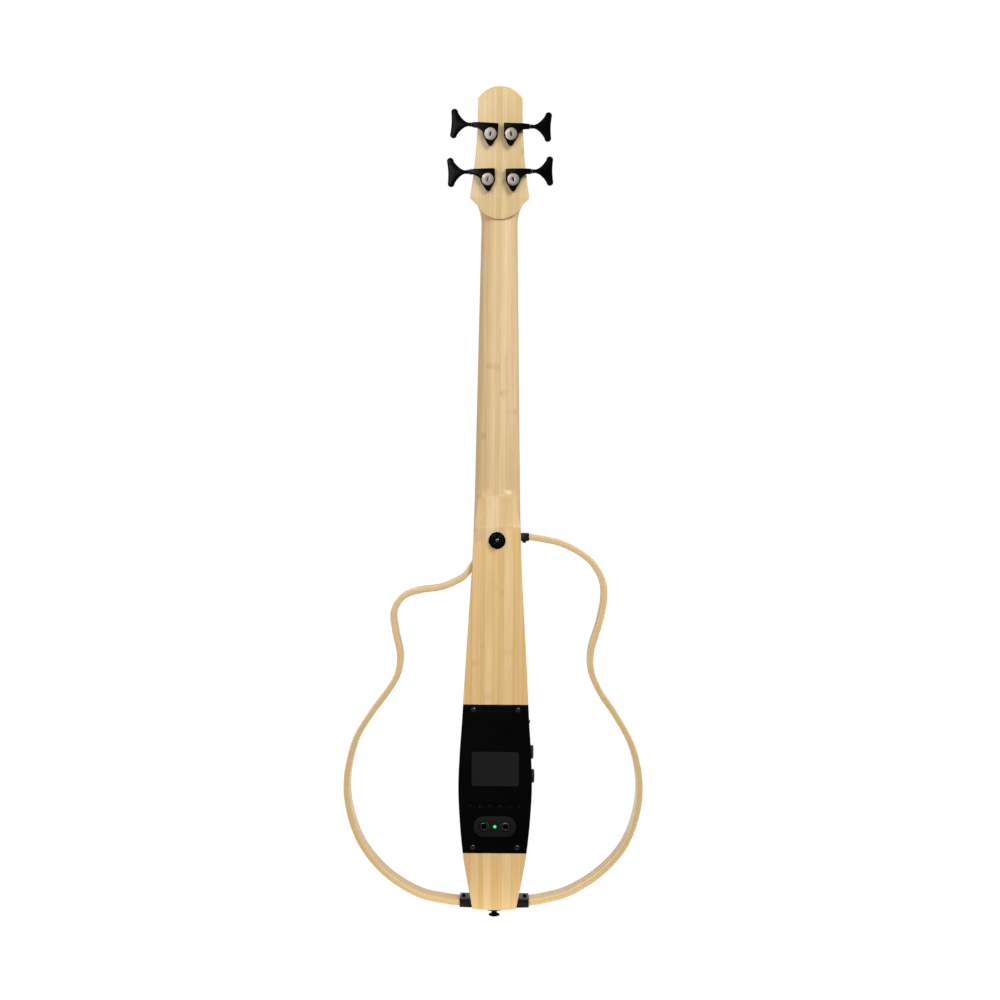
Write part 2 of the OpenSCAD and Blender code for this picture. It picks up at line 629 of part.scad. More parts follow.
module string_winding(s) color(STEEL) tuner_frame(s) {
    r = gauge_r(s);
    for (k = [1:winding_turns(s)]) translate([0, wrap_v(s) + 0.15 + 2 * r * k, 0]) rotate([90, 0, 0])
        rotate_extrude() translate([spool_r + r + 0.03, 0]) circle(r = r + 0.02, $fn = 24);
}
module tuner_caps() color(SATIN) for (s = STRINGS) tuner_frame(s)
    rod_y(0, 0, cap_d / 2, head_t + housing_h - 1, head_t + housing_h + 0.4);
module post_bushings() color(BLACK) for (s = STRINGS) tuner_frame(s) difference() {
    union() {
        rod_y(0, 0, post_bore_r, -0.5, 11);
        rod_y(0, 0, 8.6, -1.7, 0);
    }
    rod_y(0, 0, post_r + post_clear, -3, 12);
}
module tuner_screws() color(BLACK) head_frame() {
    for (s = STRINGS) difference() {
        union() {
            rod_y(ear_x(s), ear_u(s), 0.94, head_t - 8, head_t + 5);
            rod_y(ear_x(s), ear_u(s), 2.4, head_t + 4, head_t + 5.8);
        }
        cross_slot(ear_x(s), head_t + 5.8, ear_u(s), [2.8, 1.6, 0.5]);
    }
    for (q = ROD_COVER_SCREWS) difference() {
        union() {
            rod_y(q[0], q[1], 0.94, -1.7, 8);
            rod_y(q[0], q[1], 1.8, -2.7, -1.6);
        }
        cross_slot(q[0], -2.7, q[1], [2.2, 1, 0.4]);
    }
}

// ---- Electronics module ----

wall = 3;
cover_t = 2.5;
cover_y = body_depth - cover_t;
cover_inset = 0.5;
floor_y = front_board_t + 2.5;
cover_screw_places = [for (x = [-26.6, 26.6], z = [-596, -761]) [x, z]];
jack_z = -736.3;
jack_x = 13;
volume_z = -648.5;
tone_z = -677.5;
button_z = -611.8;
control_y = 28;
trim_z = -711.6;
label_z = -667.3;
trim_pitch = 11.9;
trim_xs = [for (i = [0:5]) (i - 2.5) * trim_pitch];

// Half-width of the body at a height between module_bottom and module_top
function edge_at(z) = let (p = smooth_curve(BODY_EDGE, 6)) lookup(z, [for (q = p) [q[1], q[0]]]);

// The module's plan, moved in by an inset all round
module module_plan(inset) {
    z0 = module_bottom + inset;
    z1 = module_top - inset;
    n = 16;
    right = [for (i = [0:n]) let (z = z1 + (z0 - z1) * i / n) [edge_at(z) - inset, z]];
    polygon(concat(right, mirrored(right)));
}

// A flat seat in the side wall for one knob, and how far out it lies
function seat_x(z) = -edge_at(z) + 0.9;
module electronics_housing() color(BLACK) difference() {
    slab(front_board_t, cover_y) module_shell_plan();
    difference() {
        slab(floor_y, body_depth) module_plan(wall);
        for (p = cover_screw_places) rod_y(p[0], p[1], 4.2, floor_y - 1, body_depth);
    }
    for (p = cover_screw_places) rod_y(p[0], p[1], 1.3, cover_y - 12, cover_y + 1);
    for (z = [volume_z, tone_z]) {
        rod_x(control_y, z, knob_d / 2 + 0.6, -60, seat_x(z));
        rod_x(control_y, z, 3.1, -60, -20);
    }
    rod_x(control_y, button_z, 2.05, -60, -30);
    rod_y(pickup_wire_x, saddle_z, 0.8, front_board_t - 1, floor_y + 1);
}
// The module's outer walls follow the body's own outline exactly
module module_shell_plan() intersection() {
    body_plan();
    polygon([[-60, module_bottom], [60, module_bottom], [60, module_top], [-60, module_top]]);
}

module back_cover() color(BLACK) difference() {
    slab(cover_y, body_depth) module_plan(cover_inset);
    for (p = cover_screw_places) rod_y(p[0], p[1], 1.6, cover_y - 1, body_depth + 1);
    for (x = trim_xs) rod_y(x, trim_z, 1.9, cover_y - 1, body_depth + 1);
    for (x = [-jack_x, jack_x]) rod_y(x, jack_z, 4.85, cover_y - 1, body_depth + 1);
    rod_y(0, jack_z, 2.6, cover_y - 1, body_depth + 1);
}
module cover_screws() color(STEEL) for (p = cover_screw_places) difference() {
    union() {
        rod_y(p[0], p[1], 1.29, cover_y - 11, body_depth + 0.1);
        intersection() {
            rod_y(p[0], p[1], 3, body_depth, body_depth + 3);
            translate([p[0], body_depth - 2.4, p[1]]) sphere(r = 4.2);
        }
    }
    cross_slot(p[0], body_depth + 1.8, p[1], [3, 2, 0.6]);
}
module label_plate() color(DARK_GREY) slab(body_depth, body_depth + 0.6) translate([0, label_z]) hull()
    for (x = [-1, 1], z = [-1, 1]) translate([x * 25.9, z * 18]) circle(r = 2.5, $fn = 32);
module trim_screws() color(DARK_GREY) for (x = trim_xs) difference() {
    rod_y(x, trim_z, 1.88, cover_y - 2, body_depth - 1);
    translate([x, body_depth - 1, trim_z]) rotate([0, 35, 0]) cube([3, 1, 0.6], center = true);
}
module stadium(half_l, r) hull() for (x = [-1, 1])
    translate([x * (half_l - r), jack_z]) circle(r = r, $fn = 32);
module jack_plate() color(DARK_GREY) difference() {
    slab(body_depth, body_depth + 1.6) stadium(25.6, 12.35);
    slab(body_depth + 0.8, body_depth + 3) stadium(19, 6.6);
    for (x = [-jack_x, jack_x]) rod_y(x, jack_z, 4.85, body_depth - 1, body_depth + 3);
    rod_y(0, jack_z, 2.6, body_depth - 1, body_depth + 3);
}
module jack(x) color(STEEL) difference() {
    union() {
        rod_y(x, jack_z, 4.75, cover_y - 3, body_depth + 1.9);
        rod_y(x, jack_z, 6, body_depth + 0.8, body_depth + 1.7);
        block([x - 7, floor_y + 2, jack_z - 7], [x + 7, cover_y - 0.05, jack_z + 7]);
    }
    rod_y(x, jack_z, jack_bore / 2, floor_y + 4, body_depth + 4);
}
module headphone_jack() jack(jack_x);
module output_jack() jack(-jack_x);
module power_light() color([0.16, 0.9, 0.45]) {
    rod_y(0, jack_z, 2.5, body_depth - 3, body_depth + 0.6);
    translate([0, body_depth + 0.6, jack_z]) sphere(r = 2.5);
}
board_y = floor_y + 6;
module circuit_board() color([0.05, 0.30, 0.15]) {
    difference() {
        block([-33, board_y, -724], [33, board_y + 1.6, -690]);
        for (x = [-28, 28]) rod_y(x, -719, 1.6, board_y - 1, board_y + 3);
    }
    block([-8, board_y + 1.5, -706], [8, board_y + 4, -696]);
    for (x = trim_xs) block([x - 3, board_y + 1.5, trim_z - 3], [x + 3, cover_y - 2.05, trim_z + 3]);
    for (x = [-20, 20]) rod_y(x, -699, 3, board_y + 1.5, board_y + 9);
}
module battery() color([0.75, 0.60, 0.25]) {
    block([-5, floor_y, -648], [21.5, floor_y + 17.5, -602]);
    for (x = [2, 14.5]) translate([x, floor_y + 8.7, -648]) mirror([0, 0, 1]) cylinder(r = 2.8, h = 2.5);
}
// Both rotary controls, each with a collar for its knob's spindle, and the switch behind the power button
module control_pots() color(SATIN) {
    for (z = [volume_z, tone_z]) {
        rod_x(control_y, z, 8, -edge_at(z) + wall + 1, -edge_at(z) + wall + 10);
        difference() {
            rod_x(control_y, z, 3.08, seat_x(z), -edge_at(z) + wall + 2);
            rod_x(control_y, z, 1.55, -60, -edge_at(z) + wall + 0.5);
        }
    }
    block([-34, control_y - 4, button_z - 3.5], [-28, control_y + 4, button_z + 3.5]);
}
// A low knurled knob on its spindle, which turns inside the pot's collar
module side_knob(z) color(BLACK) difference() {
    x1 = seat_x(z) - 0.3;
    x0 = x1 - 3.6;
    union() {
        translate([x0, control_y, z]) rotate([0, 90, 0]) rotate_extrude()
            polygon([[0, 0], [knob_d / 2 - 0.9, 0], [knob_d / 2, 0.9], [knob_d / 2, 3.6], [0, 3.6]]);
        rod_x(control_y, z, 1.5, x0 + 1, -edge_at(z) + wall + 0.4);
    }
    for (a = [0:12:359]) translate([x0 - 1, control_y, z]) rotate([a, 0, 0])
        translate([0, knob_d / 2 + 0.2, 0]) rotate([0, 90, 0]) cylinder(r = 0.5, h = 6, $fn = 16);
}
module volume_knob() side_knob(volume_z);
module tone_knob() side_knob(tone_z);
module power_button() color(STEEL) {
    x = -edge_at(button_z) - button_travel - 0.4;
    rod_x(control_y, button_z, 1.98, x, x + 6.4);
    rod_x(control_y, button_z, 2.8, -edge_at(button_z) + wall + 0.2, x + 6.4);
}

// ---- The nodes ----

neck();
headstock();
headstock_face();
fingerboard();
frets();
position_dots();
nut();
truss_rod();
truss_rod_cover();
body_block();
bridge();
saddle();
saddle_pickup();
for (s = STRINGS) {
    bass_string(s);
    string_winding(s);
    tuner_housing(s);
    tuner_key(s);
    tuner_post(s);
}
tuner_caps();
post_bushings();
tuner_screws();
electronics_housing();
back_cover();
cover_screws();
label_plate();
trim_screws();
jack_plate();
headphone_jack();
output_jack();
power_light();
circuit_board();
battery();
control_pots();
volume_knob();
tone_knob();
power_button();
treble_frame();
bass_frame();
frame_clamps();
clamp_screws();
heel_strap_button();
tail_strap_button();
strap_screws();
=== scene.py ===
# Looks of the upright four-string travel bass: detailed pieces and procedural materials
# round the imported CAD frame.
# Lengths are in millimetres until a mesh is made, in the frame of the CAD model.
import math

import bmesh
import bpy
from mathutils import Matrix, Quaternion, Vector


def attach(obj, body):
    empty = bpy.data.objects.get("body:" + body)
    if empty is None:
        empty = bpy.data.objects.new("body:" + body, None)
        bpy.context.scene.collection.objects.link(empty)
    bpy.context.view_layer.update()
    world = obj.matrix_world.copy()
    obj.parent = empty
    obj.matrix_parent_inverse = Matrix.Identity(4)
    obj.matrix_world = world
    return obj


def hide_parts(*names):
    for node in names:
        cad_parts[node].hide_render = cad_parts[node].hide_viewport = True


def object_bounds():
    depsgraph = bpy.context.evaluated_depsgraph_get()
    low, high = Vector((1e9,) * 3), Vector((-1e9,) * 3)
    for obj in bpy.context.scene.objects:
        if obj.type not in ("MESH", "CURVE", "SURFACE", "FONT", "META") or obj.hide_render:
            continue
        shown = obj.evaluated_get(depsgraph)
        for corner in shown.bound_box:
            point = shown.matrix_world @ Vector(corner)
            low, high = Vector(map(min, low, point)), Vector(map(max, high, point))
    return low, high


MM = 0.001
STRINGS = "eadg"
ROOT = "instrument"

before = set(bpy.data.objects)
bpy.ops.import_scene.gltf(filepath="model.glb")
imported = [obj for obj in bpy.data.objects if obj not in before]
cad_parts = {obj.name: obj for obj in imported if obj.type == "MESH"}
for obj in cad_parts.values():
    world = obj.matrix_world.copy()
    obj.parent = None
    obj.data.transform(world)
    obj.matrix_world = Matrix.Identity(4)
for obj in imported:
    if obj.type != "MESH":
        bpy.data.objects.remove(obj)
bpy.context.scene.view_settings.view_transform = "Standard"
cad_bounds = [list(corner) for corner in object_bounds()]

# ---------------------------------------------------------------- material nodes


class Tree:
    """A material's node tree, with short calls for the nodes that are used most."""

    def __init__(self, name):
        self.material = bpy.data.materials.new(name)
        self.material.use_nodes = True
        self.nodes = self.material.node_tree.nodes
        self.links = self.material.node_tree.links
        self.nodes.clear()
        output = self.nodes.new("ShaderNodeOutputMaterial")
        self.shader = self.nodes.new("ShaderNodeBsdfPrincipled")
        self.links.new(self.shader.outputs[0], output.inputs[0])
        self.bumps = None

    def put(self, socket, value):
        if isinstance(value, bpy.types.NodeSocket):
            self.links.new(value, socket)
        else:
            socket.default_value = value

    def make(self, kind, values=(), **settings):
        node = self.nodes.new(kind)
        for key, value in settings.items():
            setattr(node, key, value)
        for key, value in dict(values).items():
            self.put(node.inputs[key], value)
        return node

    def math(self, operation, a, b=0.0, c=0.0):
        return self.make("ShaderNodeMath", {0: a, 1: b, 2: c}, operation=operation).outputs[0]

    def times(self, a, b):
        return self.math("MULTIPLY", a, b)

    def plus(self, a, b):
        return self.math("ADD", a, b)

    def vector(self, x, y, z):
        return self.make("ShaderNodeCombineXYZ", {0: x, 1: y, 2: z}).outputs[0]

    def split(self, v):
        return self.make("ShaderNodeSeparateXYZ", {0: v}).outputs[0:3]

    def stretched(self, v, factors):
        """Coordinates with each axis at its own scale."""
        return self.vector(*(self.times(c, f) for c, f in zip(self.split(v), factors)))

    def noise(self, v, scale, detail=2.0, roughness=0.5):
        node = self.make("ShaderNodeTexNoise", {"Vector": v, "Scale": scale, "Detail": detail,
                                                "Roughness": roughness})
        return node.outputs["Fac"]

    def ramp(self, fac, stops):
        node = self.make("ShaderNodeValToRGB", {0: fac})
        elements = node.color_ramp.elements
        while len(elements) < len(stops):
            elements.new(0.5)
        for element, (place, colour) in zip(elements, stops):
            element.position = place
            element.color = (*colour, 1)
        return node.outputs["Color"]

    def fit(self, v, low, high, to_low=0.0, to_high=1.0):
        node = self.make("ShaderNodeMapRange", {0: v, 1: low, 2: high, 3: to_low, 4: to_high},
                         interpolation_type="SMOOTHSTEP")
        return node.outputs[0]

    def mix(self, fac, a, b):
        node = self.make("ShaderNodeMix", data_type="RGBA", blend_type="MIX")
        for socket, value in ((node.inputs[0], fac), (node.inputs[6], a), (node.inputs[7], b)):
            self.put(socket, value if isinstance(value, (bpy.types.NodeSocket, float)) else (*value, 1))
        return node.outputs[2]

    def bump(self, height, strength, distance):
        node = self.make("ShaderNodeBump", {"Strength": strength, "Distance": distance, "Height": height})
        if self.bumps is not None:
            self.links.new(self.bumps, node.inputs["Normal"])
        self.bumps = node.outputs[0]

    def surface(self, **values):
        for key, value in values.items():
            self.put(self.shader.inputs[key.replace("_", " ")], value)
        if self.bumps is not None:
            self.links.new(self.bumps, self.shader.inputs["Normal"])
        return self.material

    def place(self):
        return self.make("ShaderNodeTexCoord").outputs["Object"]

    def grain(self):
        """The coordinates that a mesh carries with it, such as the distance along a bent strip."""
        attribute = self.make("ShaderNodeAttribute", attribute_name="grain", attribute_type="GEOMETRY")
        return attribute.outputs["Vector"]


def grey(v):
    return (v, v, v, 1)


def toned(colour, factor):
    return tuple(c * factor for c in colour)


# Colours inside the bamboo, besides each strip's own tone, and the distance between its knuckles
DARK_STREAK, PALE_STREAK = (0.58, 0.365, 0.15), (0.80, 0.60, 0.36)
FIBRE, BUNDLE = (0.54, 0.34, 0.14), (0.42, 0.25, 0.10)
GLUE, KNUCKLE = (0.50, 0.28, 0.12), (0.47, 0.29, 0.10)
KNUCKLE_GAP = 0.31


def bamboo(name, tones, strip, layer, tilt=0.0, along_curve=False, knuckles=0.6, lines=0.5, streaks=0.5,
           seed=0.0,
           fine=1.0, fibres=1.0, coat=0.4, coat_roughness=0.22):
    """Laminated bamboo: strips side by side, each with its own tone, streaks, fibres and knuckles."""
    t = Tree(name)
    if along_curve:
        where = t.grain()
    else:
        where = t.place()
        if tilt:
            where = t.make("ShaderNodeVectorRotate", {"Vector": where, "Angle": tilt},
                           rotation_type="X_AXIS").outputs[0]
    across, deep, along = t.split(where)
    wobble = t.math("SINE", t.math("MULTIPLY_ADD", across, 2 * math.pi / (strip * 2.7), seed + 1.3))
    cell = t.plus(t.math("MULTIPLY_ADD", across, 1 / strip, 0.37 + seed), t.times(wobble, 0.26))
    index = t.math("FLOOR", cell)
    inside = t.math("FRACT", cell)
    deep_cell = t.math("MULTIPLY_ADD", deep, 1 / layer, 0.21)
    deep_index = t.math("FLOOR", deep_cell)
    random = t.make("ShaderNodeTexWhiteNoise", {"Vector": t.vector(index, deep_index, seed)},
                    noise_dimensions="3D").outputs["Color"]
    tone, shift, third = t.make("ShaderNodeSeparateColor", {0: random}).outputs[0:3]
    run = t.plus(along, shift)
    colour = t.ramp(tone, tones)
    # Slow drift of tone along each strip
    slow = t.noise(t.vector(t.times(cell, 0.6), deep_index, t.times(run, 7.0)), 1.0, 3.0)
    colour = t.mix(t.fit(slow, 0.3, 0.75, 0.0, 0.55), colour, tones[-1][1])

    def drawn_out(width, length, detail, roughness=0.5):
        """Noise with this many cells a metre across the strips, and this many along them."""
        parts = (t.times(c, f) for c, f in ((across, width * fine), (deep, width * fine), (run, length)))
        return t.noise(t.vector(*parts), 1.0, detail, roughness)

    # Broad streaks, fine fibres, then the dark bundles, all drawn out along the strip
    streak = drawn_out(620.0, 2.2, 2.0, 0.6)
    colour = t.mix(t.fit(streak, 0.45, 0.72, 0.0, streaks), colour, DARK_STREAK)
    colour = t.mix(t.fit(streak, 0.44, 0.26, 0.0, streaks * 0.8), colour, PALE_STREAK)
    fibre = drawn_out(2400.0, 34.0, 3.0, 0.6)
    colour = t.mix(t.fit(fibre, 0.35, 0.75, 0.0, 0.22 * fibres), colour, FIBRE)
    dashes = t.fit(drawn_out(1500.0, 90.0, 1.0), 0.66, 0.8, 0.0, 0.32 * fibres)
    colour = t.mix(dashes, colour, BUNDLE)
    # Glue lines between strips
    edge = t.math("MINIMUM", inside, t.math("SUBTRACT", 1.0, inside))
    line = t.times(t.fit(edge, 0.0, 0.085, 1.0, 0.0), t.math("MULTIPLY_ADD", third, lines, 0.12))
    colour = t.mix(line, colour, GLUE)
    # A knuckle crosses each strip at its own heights
    turn = t.plus(t.times(run, 1 / KNUCKLE_GAP), t.times(fibre, 0.012))
    far = t.math("ABSOLUTE", t.math("SUBTRACT", t.math("FRACT", turn), 0.5))
    ragged = t.noise(t.vector(t.times(across, 700.0), deep, t.times(along, 160.0)), 1.0, 2.0)
    knot = t.times(t.fit(far, 0.002, 0.021, 1.0, 0.0), t.fit(ragged, 0.3, 0.62, 0.1, 1.0))
    knot = t.times(knot, t.times(t.fit(third, 0.15, 0.85, 0.2, 1.0), knuckles))
    colour = t.mix(knot, colour, KNUCKLE)
    t.bump(fibre, 0.1 * fine * fibres, 0.00005)
    t.bump(t.math("SUBTRACT", 1.0, line), 0.12 * fine * fibres, 0.00006)
    rough = t.fit(fibre, 0.3, 0.8, 0.40, 0.50)
    return t.surface(Base_Color=colour, Roughness=rough, Coat_Weight=coat, Coat_Roughness=coat_roughness,
                     Coat_IOR=1.45,
                     Specular_IOR_Level=0.35)


def open_grain_wood(name):
    """Dark open-grained wood with fine pores along the neck."""
    t = Tree(name)
    bands = t.noise(t.stretched(t.place(), (130.0, 130.0, 5.0)), 1.0, 4.0)
    colour = t.ramp(bands, [(0.3, (0.030, 0.015, 0.009)), (0.5, (0.062, 0.031, 0.017)),
                            (0.7, (0.105, 0.056, 0.030))])
    pores = t.noise(t.stretched(t.place(), (2100.0, 2100.0, 110.0)), 1.0, 1.0)
    pit = t.fit(pores, 0.62, 0.74)
    colour = t.mix(t.times(pit, 0.75), colour, (0.012, 0.006, 0.004))
    t.bump(t.math("SUBTRACT", 1.0, pit), 0.35, 0.00012)
    return t.surface(Base_Color=colour, Roughness=t.fit(bands, 0.3, 0.7, 0.5, 0.38), Specular_IOR_Level=0.4)


def moulded(name, shade, roughness, grain=2600.0, bump=0.12, specular=0.5, tint=(1, 1, 1)):
    """Moulded or sprayed finish: a fine even texture with slow patches of sheen."""
    t = Tree(name)
    where = t.place()
    fine = t.noise(where, grain, 2.0, 0.6)
    slow = t.noise(where, 42.0, 3.0)
    dark = tuple(shade * c * 0.82 for c in tint)
    light = tuple(shade * c * 1.22 for c in tint)
    colour = t.mix(slow, dark, light)
    t.bump(fine, bump, 0.00005)
    rough = t.plus(t.fit(slow, 0.3, 0.7, roughness - 0.04, roughness + 0.05), t.times(fine, 0.05))
    return t.surface(Base_Color=colour, Roughness=rough, Specular_IOR_Level=specular)


def metal(name, colour, roughness, grain=(900.0, 900.0, 30.0), bump=0.08):
    """Metal with fine scratches along one direction and slow changes of sheen."""
    t = Tree(name)
    scratch = t.noise(t.stretched(t.place(), grain), 1.0, 3.0, 0.6)
    slow = t.noise(t.place(), 60.0, 2.0)
    tint = t.mix(scratch, toned(colour, 0.86), colour)
    tint = t.mix(t.fit(slow, 0.3, 0.7, 0.0, 0.25), tint, toned(colour, 0.8))
    t.bump(scratch, bump, 0.00004)
    rough = t.plus(t.times(scratch, 0.12), t.fit(slow, 0.3, 0.7, roughness - 0.07, roughness - 0.02))
    return t.surface(Base_Color=tint, Metallic=1.0, Roughness=rough)


def turned_metal(name, colour, roughness):
    """Metal faced on a lathe: rings about the piece's own centre, which the grain attribute measures from."""
    t = Tree(name)
    where = t.grain()
    x, y, z = t.split(where)
    radius = t.math("SQRT", t.plus(t.times(x, x), t.times(z, z)))
    rings = t.noise(t.vector(t.times(radius, 5200.0), 0.0, 0.0), 1.0, 2.0, 0.7)
    slow = t.noise(where, 260.0, 2.0)
    tint = t.mix(rings, toned(colour, 0.82), colour)
    t.bump(rings, 0.25, 0.00005)
    rough = t.plus(t.times(rings, 0.14), t.fit(slow, 0.3, 0.7, roughness - 0.05, roughness + 0.03))
    return t.surface(Base_Color=tint, Metallic=1.0, Roughness=rough)


def wound_string(name, pitch):
    """Round-wound wire: a ridge at every turn of the wrap, with rougher grooves that are painted darker as
    painted shade between the turns.
    """
    t = Tree(name)
    where = t.grain()
    x, y, z = t.split(where)
    turn = t.math("FRACT", t.plus(t.times(z, 1 / pitch), x))
    ridge = t.math("SINE", t.times(turn, math.pi))
    # The grooves between the turns are darker in colour: painted shade, not a different metal
    colour = t.mix(t.fit(ridge, 0.1, 0.8), (0.22, 0.21, 0.20), (0.66, 0.65, 0.62))
    t.bump(ridge, 0.7, 0.00012)
    return t.surface(Base_Color=colour, Metallic=1.0, Roughness=t.fit(ridge, 0.0, 1.0, 0.5, 0.24))


def cloudy(name, light, dark, roughness, scale=240.0, sheen=0.0):
    """Bone or shell: soft clouds under a polish."""
    t = Tree(name)
    where = t.place()
    cloud = t.noise(where, scale, 4.0, 0.6)
    fleck = t.noise(where, scale * 6, 2.0)
    colour = t.mix(t.fit(cloud, 0.3, 0.7), dark, light)
    colour = t.mix(t.fit(fleck, 0.6, 0.8, 0.0, 0.3), colour, toned(dark, 0.8))
    t.bump(fleck, 0.05, 0.00003)
    return t.surface(Base_Color=colour, Roughness=t.fit(cloud, 0.3, 0.7, roughness, roughness + 0.08),
                     Coat_Weight=0.4, Coat_Roughness=0.08, Sheen_Weight=sheen)


def glowing(name, colour, strength):
    """A lit lens: brighter in the middle, by a soft cloud inside it."""
    t = Tree(name)
    cloud = t.noise(t.place(), 500.0, 2.0)
    tint = t.mix(cloud, toned(colour, 0.75), colour)
    return t.surface(Base_Color=tint, Roughness=0.12, Emission_Color=tint, Emission_Strength=strength)


BODY_TONES = [(0.0, (0.92, 0.67, 0.35)), (0.3, (0.85, 0.58, 0.25)), (0.55, (0.78, 0.52, 0.195)),
              (0.8, (0.89, 0.60, 0.30)), (1.0, (0.70, 0.44, 0.15))]
NECK_TONES = [(place, (r * 0.9, g * 0.95, b * 1.1)) for place, (r, g, b) in BODY_TONES]
HEAD_TONES = [(0.0, (0.85, 0.66, 0.38)), (0.35, (0.81, 0.62, 0.33)), (0.6, (0.77, 0.58, 0.285)),
              (0.85, (0.83, 0.63, 0.36)), (1.0, (0.73, 0.53, 0.25))]
FRAME_TONES = [(0.0, (0.92, 0.72, 0.43)), (0.35, (0.88, 0.66, 0.35)), (0.6, (0.80, 0.57, 0.27)),
               (0.85, (0.90, 0.70, 0.41)), (1.0, (0.70, 0.46, 0.19))]

HEAD_TILT = math.radians(10)
M = {
    "body_wood": bamboo("body_bamboo", BODY_TONES, 0.0078, 0.021, seed=0.0, lines=0.6, streaks=0.32),
    "neck_wood": bamboo("neck_bamboo", NECK_TONES, 0.0074, 0.024, seed=5.0, lines=0.25, streaks=0.3, coat=0.8,
                        coat_roughness=0.34),
    "head_wood": bamboo("head_bamboo", HEAD_TONES, 0.0056, 0.024, tilt=HEAD_TILT, seed=9.0, lines=0.22,
                        streaks=0.28),
    "face_wood": bamboo("face_bamboo", FRAME_TONES, 0.0085, 0.02, tilt=HEAD_TILT, seed=3.0, lines=0.35),
    "frame_wood": bamboo("frame_bamboo", FRAME_TONES, 0.0034, 0.06, along_curve=True, seed=2.0, knuckles=0.2,
                         lines=0.9,
                         streaks=0.25, fine=0.35, fibres=0.2, coat_roughness=0.3),
    "dark_wood": open_grain_wood("open_grain"),
    "panel": moulded("panel_black", 0.0012, 0.36, bump=0.08, specular=0.06),
    "shell": moulded("shell_black", 0.0014, 0.4, bump=0.15, specular=0.12),
    "label": moulded("label_grey", 0.0125, 0.62, grain=5200.0, bump=0.12, specular=0.06),
    "plate": moulded("plate_grey", 0.0080, 0.5, bump=0.15, specular=0.12),
    "gloss": moulded("gloss_black", 0.0012, 0.2, grain=1400.0, bump=0.004, specular=0.05),
    "black_metal": moulded("black_enamel", 0.0014, 0.2, grain=1800.0, bump=0.006, specular=0.06),
    "clamp_black": moulded("clamp_black", 0.0035, 0.3, grain=1800.0, bump=0.08, specular=0.3),
    "rubbery": moulded("knob_black", 0.004, 0.42, bump=0.2, specular=0.45),
    "nickel": turned_metal("satin_nickel", (0.52, 0.455, 0.39), 0.3),
    "jack_metal": metal("jack_metal", (0.30, 0.30, 0.30), 0.24),
    "steel": metal("steel", (0.62, 0.61, 0.59), 0.3),
    "black_chrome": metal("black_chrome", (0.17, 0.17, 0.17), 0.16, bump=0.02),
    "dark_steel": metal("dark_steel", (0.085, 0.085, 0.09), 0.26),
    "chrome": metal("chrome", (0.83, 0.83, 0.84), 0.16, bump=0.03),
    "fret_metal": metal("fret_metal", (0.70, 0.69, 0.66), 0.24, grain=(60.0, 900.0, 900.0)),
    "bone": cloudy("bone", (0.80, 0.76, 0.64), (0.70, 0.63, 0.49), 0.28),
    "pearl": cloudy("pearl", (0.85, 0.86, 0.84), (0.60, 0.64, 0.66), 0.18, scale=700.0, sheen=0.2),
    "light": glowing("green_lens", (0.02, 0.72, 0.15), 1.05),
    "board": moulded("circuit_green", 0.09, 0.4, tint=(0.2, 1.5, 0.6), grain=600.0),
    "cell": moulded("cell_wrap", 0.4, 0.35, tint=(1.3, 1.0, 0.45), grain=900.0),
    # Near black: paint in the cap slots, the lens bezel and the jacks' bodies, and painted shade lining the
    # jack bores
    "pit": moulded("socket_dark", 0.003, 0.6, specular=0.2),
}
WRAP_PITCH = {"e": 0.62, "a": 0.5, "d": 0.4, "g": 0.3}
M.update({f"wire_{s}": wound_string(f"wire_{s}", WRAP_PITCH[s] * MM) for s in STRINGS})

# ---------------------------------------------------------------- mesh helpers


def link(name, data):
    obj = bpy.data.objects.new(name, data)
    bpy.context.scene.collection.objects.link(obj)
    return obj


def from_faces(verts, faces):
    mesh = bpy.data.meshes.new("part")
    mesh.from_pydata([Vector(v) * MM for v in verts], [], faces)
    return mesh


def tidy(mesh, sharp):
    """Merges doubled points, turns faces outwards and smooths all but the sharp edges."""
    bm = bmesh.new()
    bm.from_mesh(mesh)
    bmesh.ops.remove_doubles(bm, verts=bm.verts, dist=2e-6)
    bmesh.ops.dissolve_degenerate(bm, edges=bm.edges, dist=1e-6)
    bmesh.ops.recalc_face_normals(bm, faces=bm.faces)
    bm.to_mesh(mesh)
    bm.free()
    mesh.shade_smooth()
    mesh.set_sharp_from_angle(angle=math.radians(sharp))
    return mesh


def settle(obj):
    """Applies the modifiers to the mesh."""
    evaluated = obj.evaluated_get(bpy.context.evaluated_depsgraph_get())
    mesh = bpy.data.meshes.new_from_object(evaluated)
    obj.modifiers.clear()
    obj.data = mesh
    return obj


def boolean(mesh, others, operation="DIFFERENCE"):
    """The mesh with the other meshes cut away or added."""
    obj = link("work", mesh)
    tools = [link("tool", o) for o in others]
    for tool in tools:
        m = obj.modifiers.new("cut", "BOOLEAN")
        m.operation = operation
        m.solver = "EXACT"
        m.object = tool
    settle(obj)
    made = obj.data
    for o in [obj, *tools]:
        bpy.data.objects.remove(o)
    return made


def bevelled(mesh, width, angle=40):
    """The mesh with its sharp edges rounded."""
    tidy(mesh, angle)
    obj = link("work", mesh)
    m = obj.modifiers.new("edge", "BEVEL")
    m.width = width * MM
    m.segments = 2
    m.limit_method = "ANGLE"
    m.angle_limit = math.radians(angle)
    m.use_clamp_overlap = False
    settle(obj)
    made = obj.data
    bpy.data.objects.remove(obj)
    return made


def joined(*meshes):
    bm = bmesh.new()
    for mesh in meshes:
        bm.from_mesh(mesh)
    made = bpy.data.meshes.new("joined")
    bm.to_mesh(made)
    bm.free()
    return made


def moved(mesh, matrix):
    """A copy of the mesh, put through a matrix. A mirrored copy keeps its faces outwards."""
    made = mesh.copy()
    made.transform(matrix)
    if matrix.determinant() < 0:
        made.flip_normals()
    return made


def with_grain(mesh, places):
    """Keeps one place for each point, as the grain attribute that the shader reads."""
    layer = mesh.attributes.new("grain", "FLOAT_VECTOR", "POINT")
    for item, place in zip(layer.data, places):
        item.vector = place
    return mesh


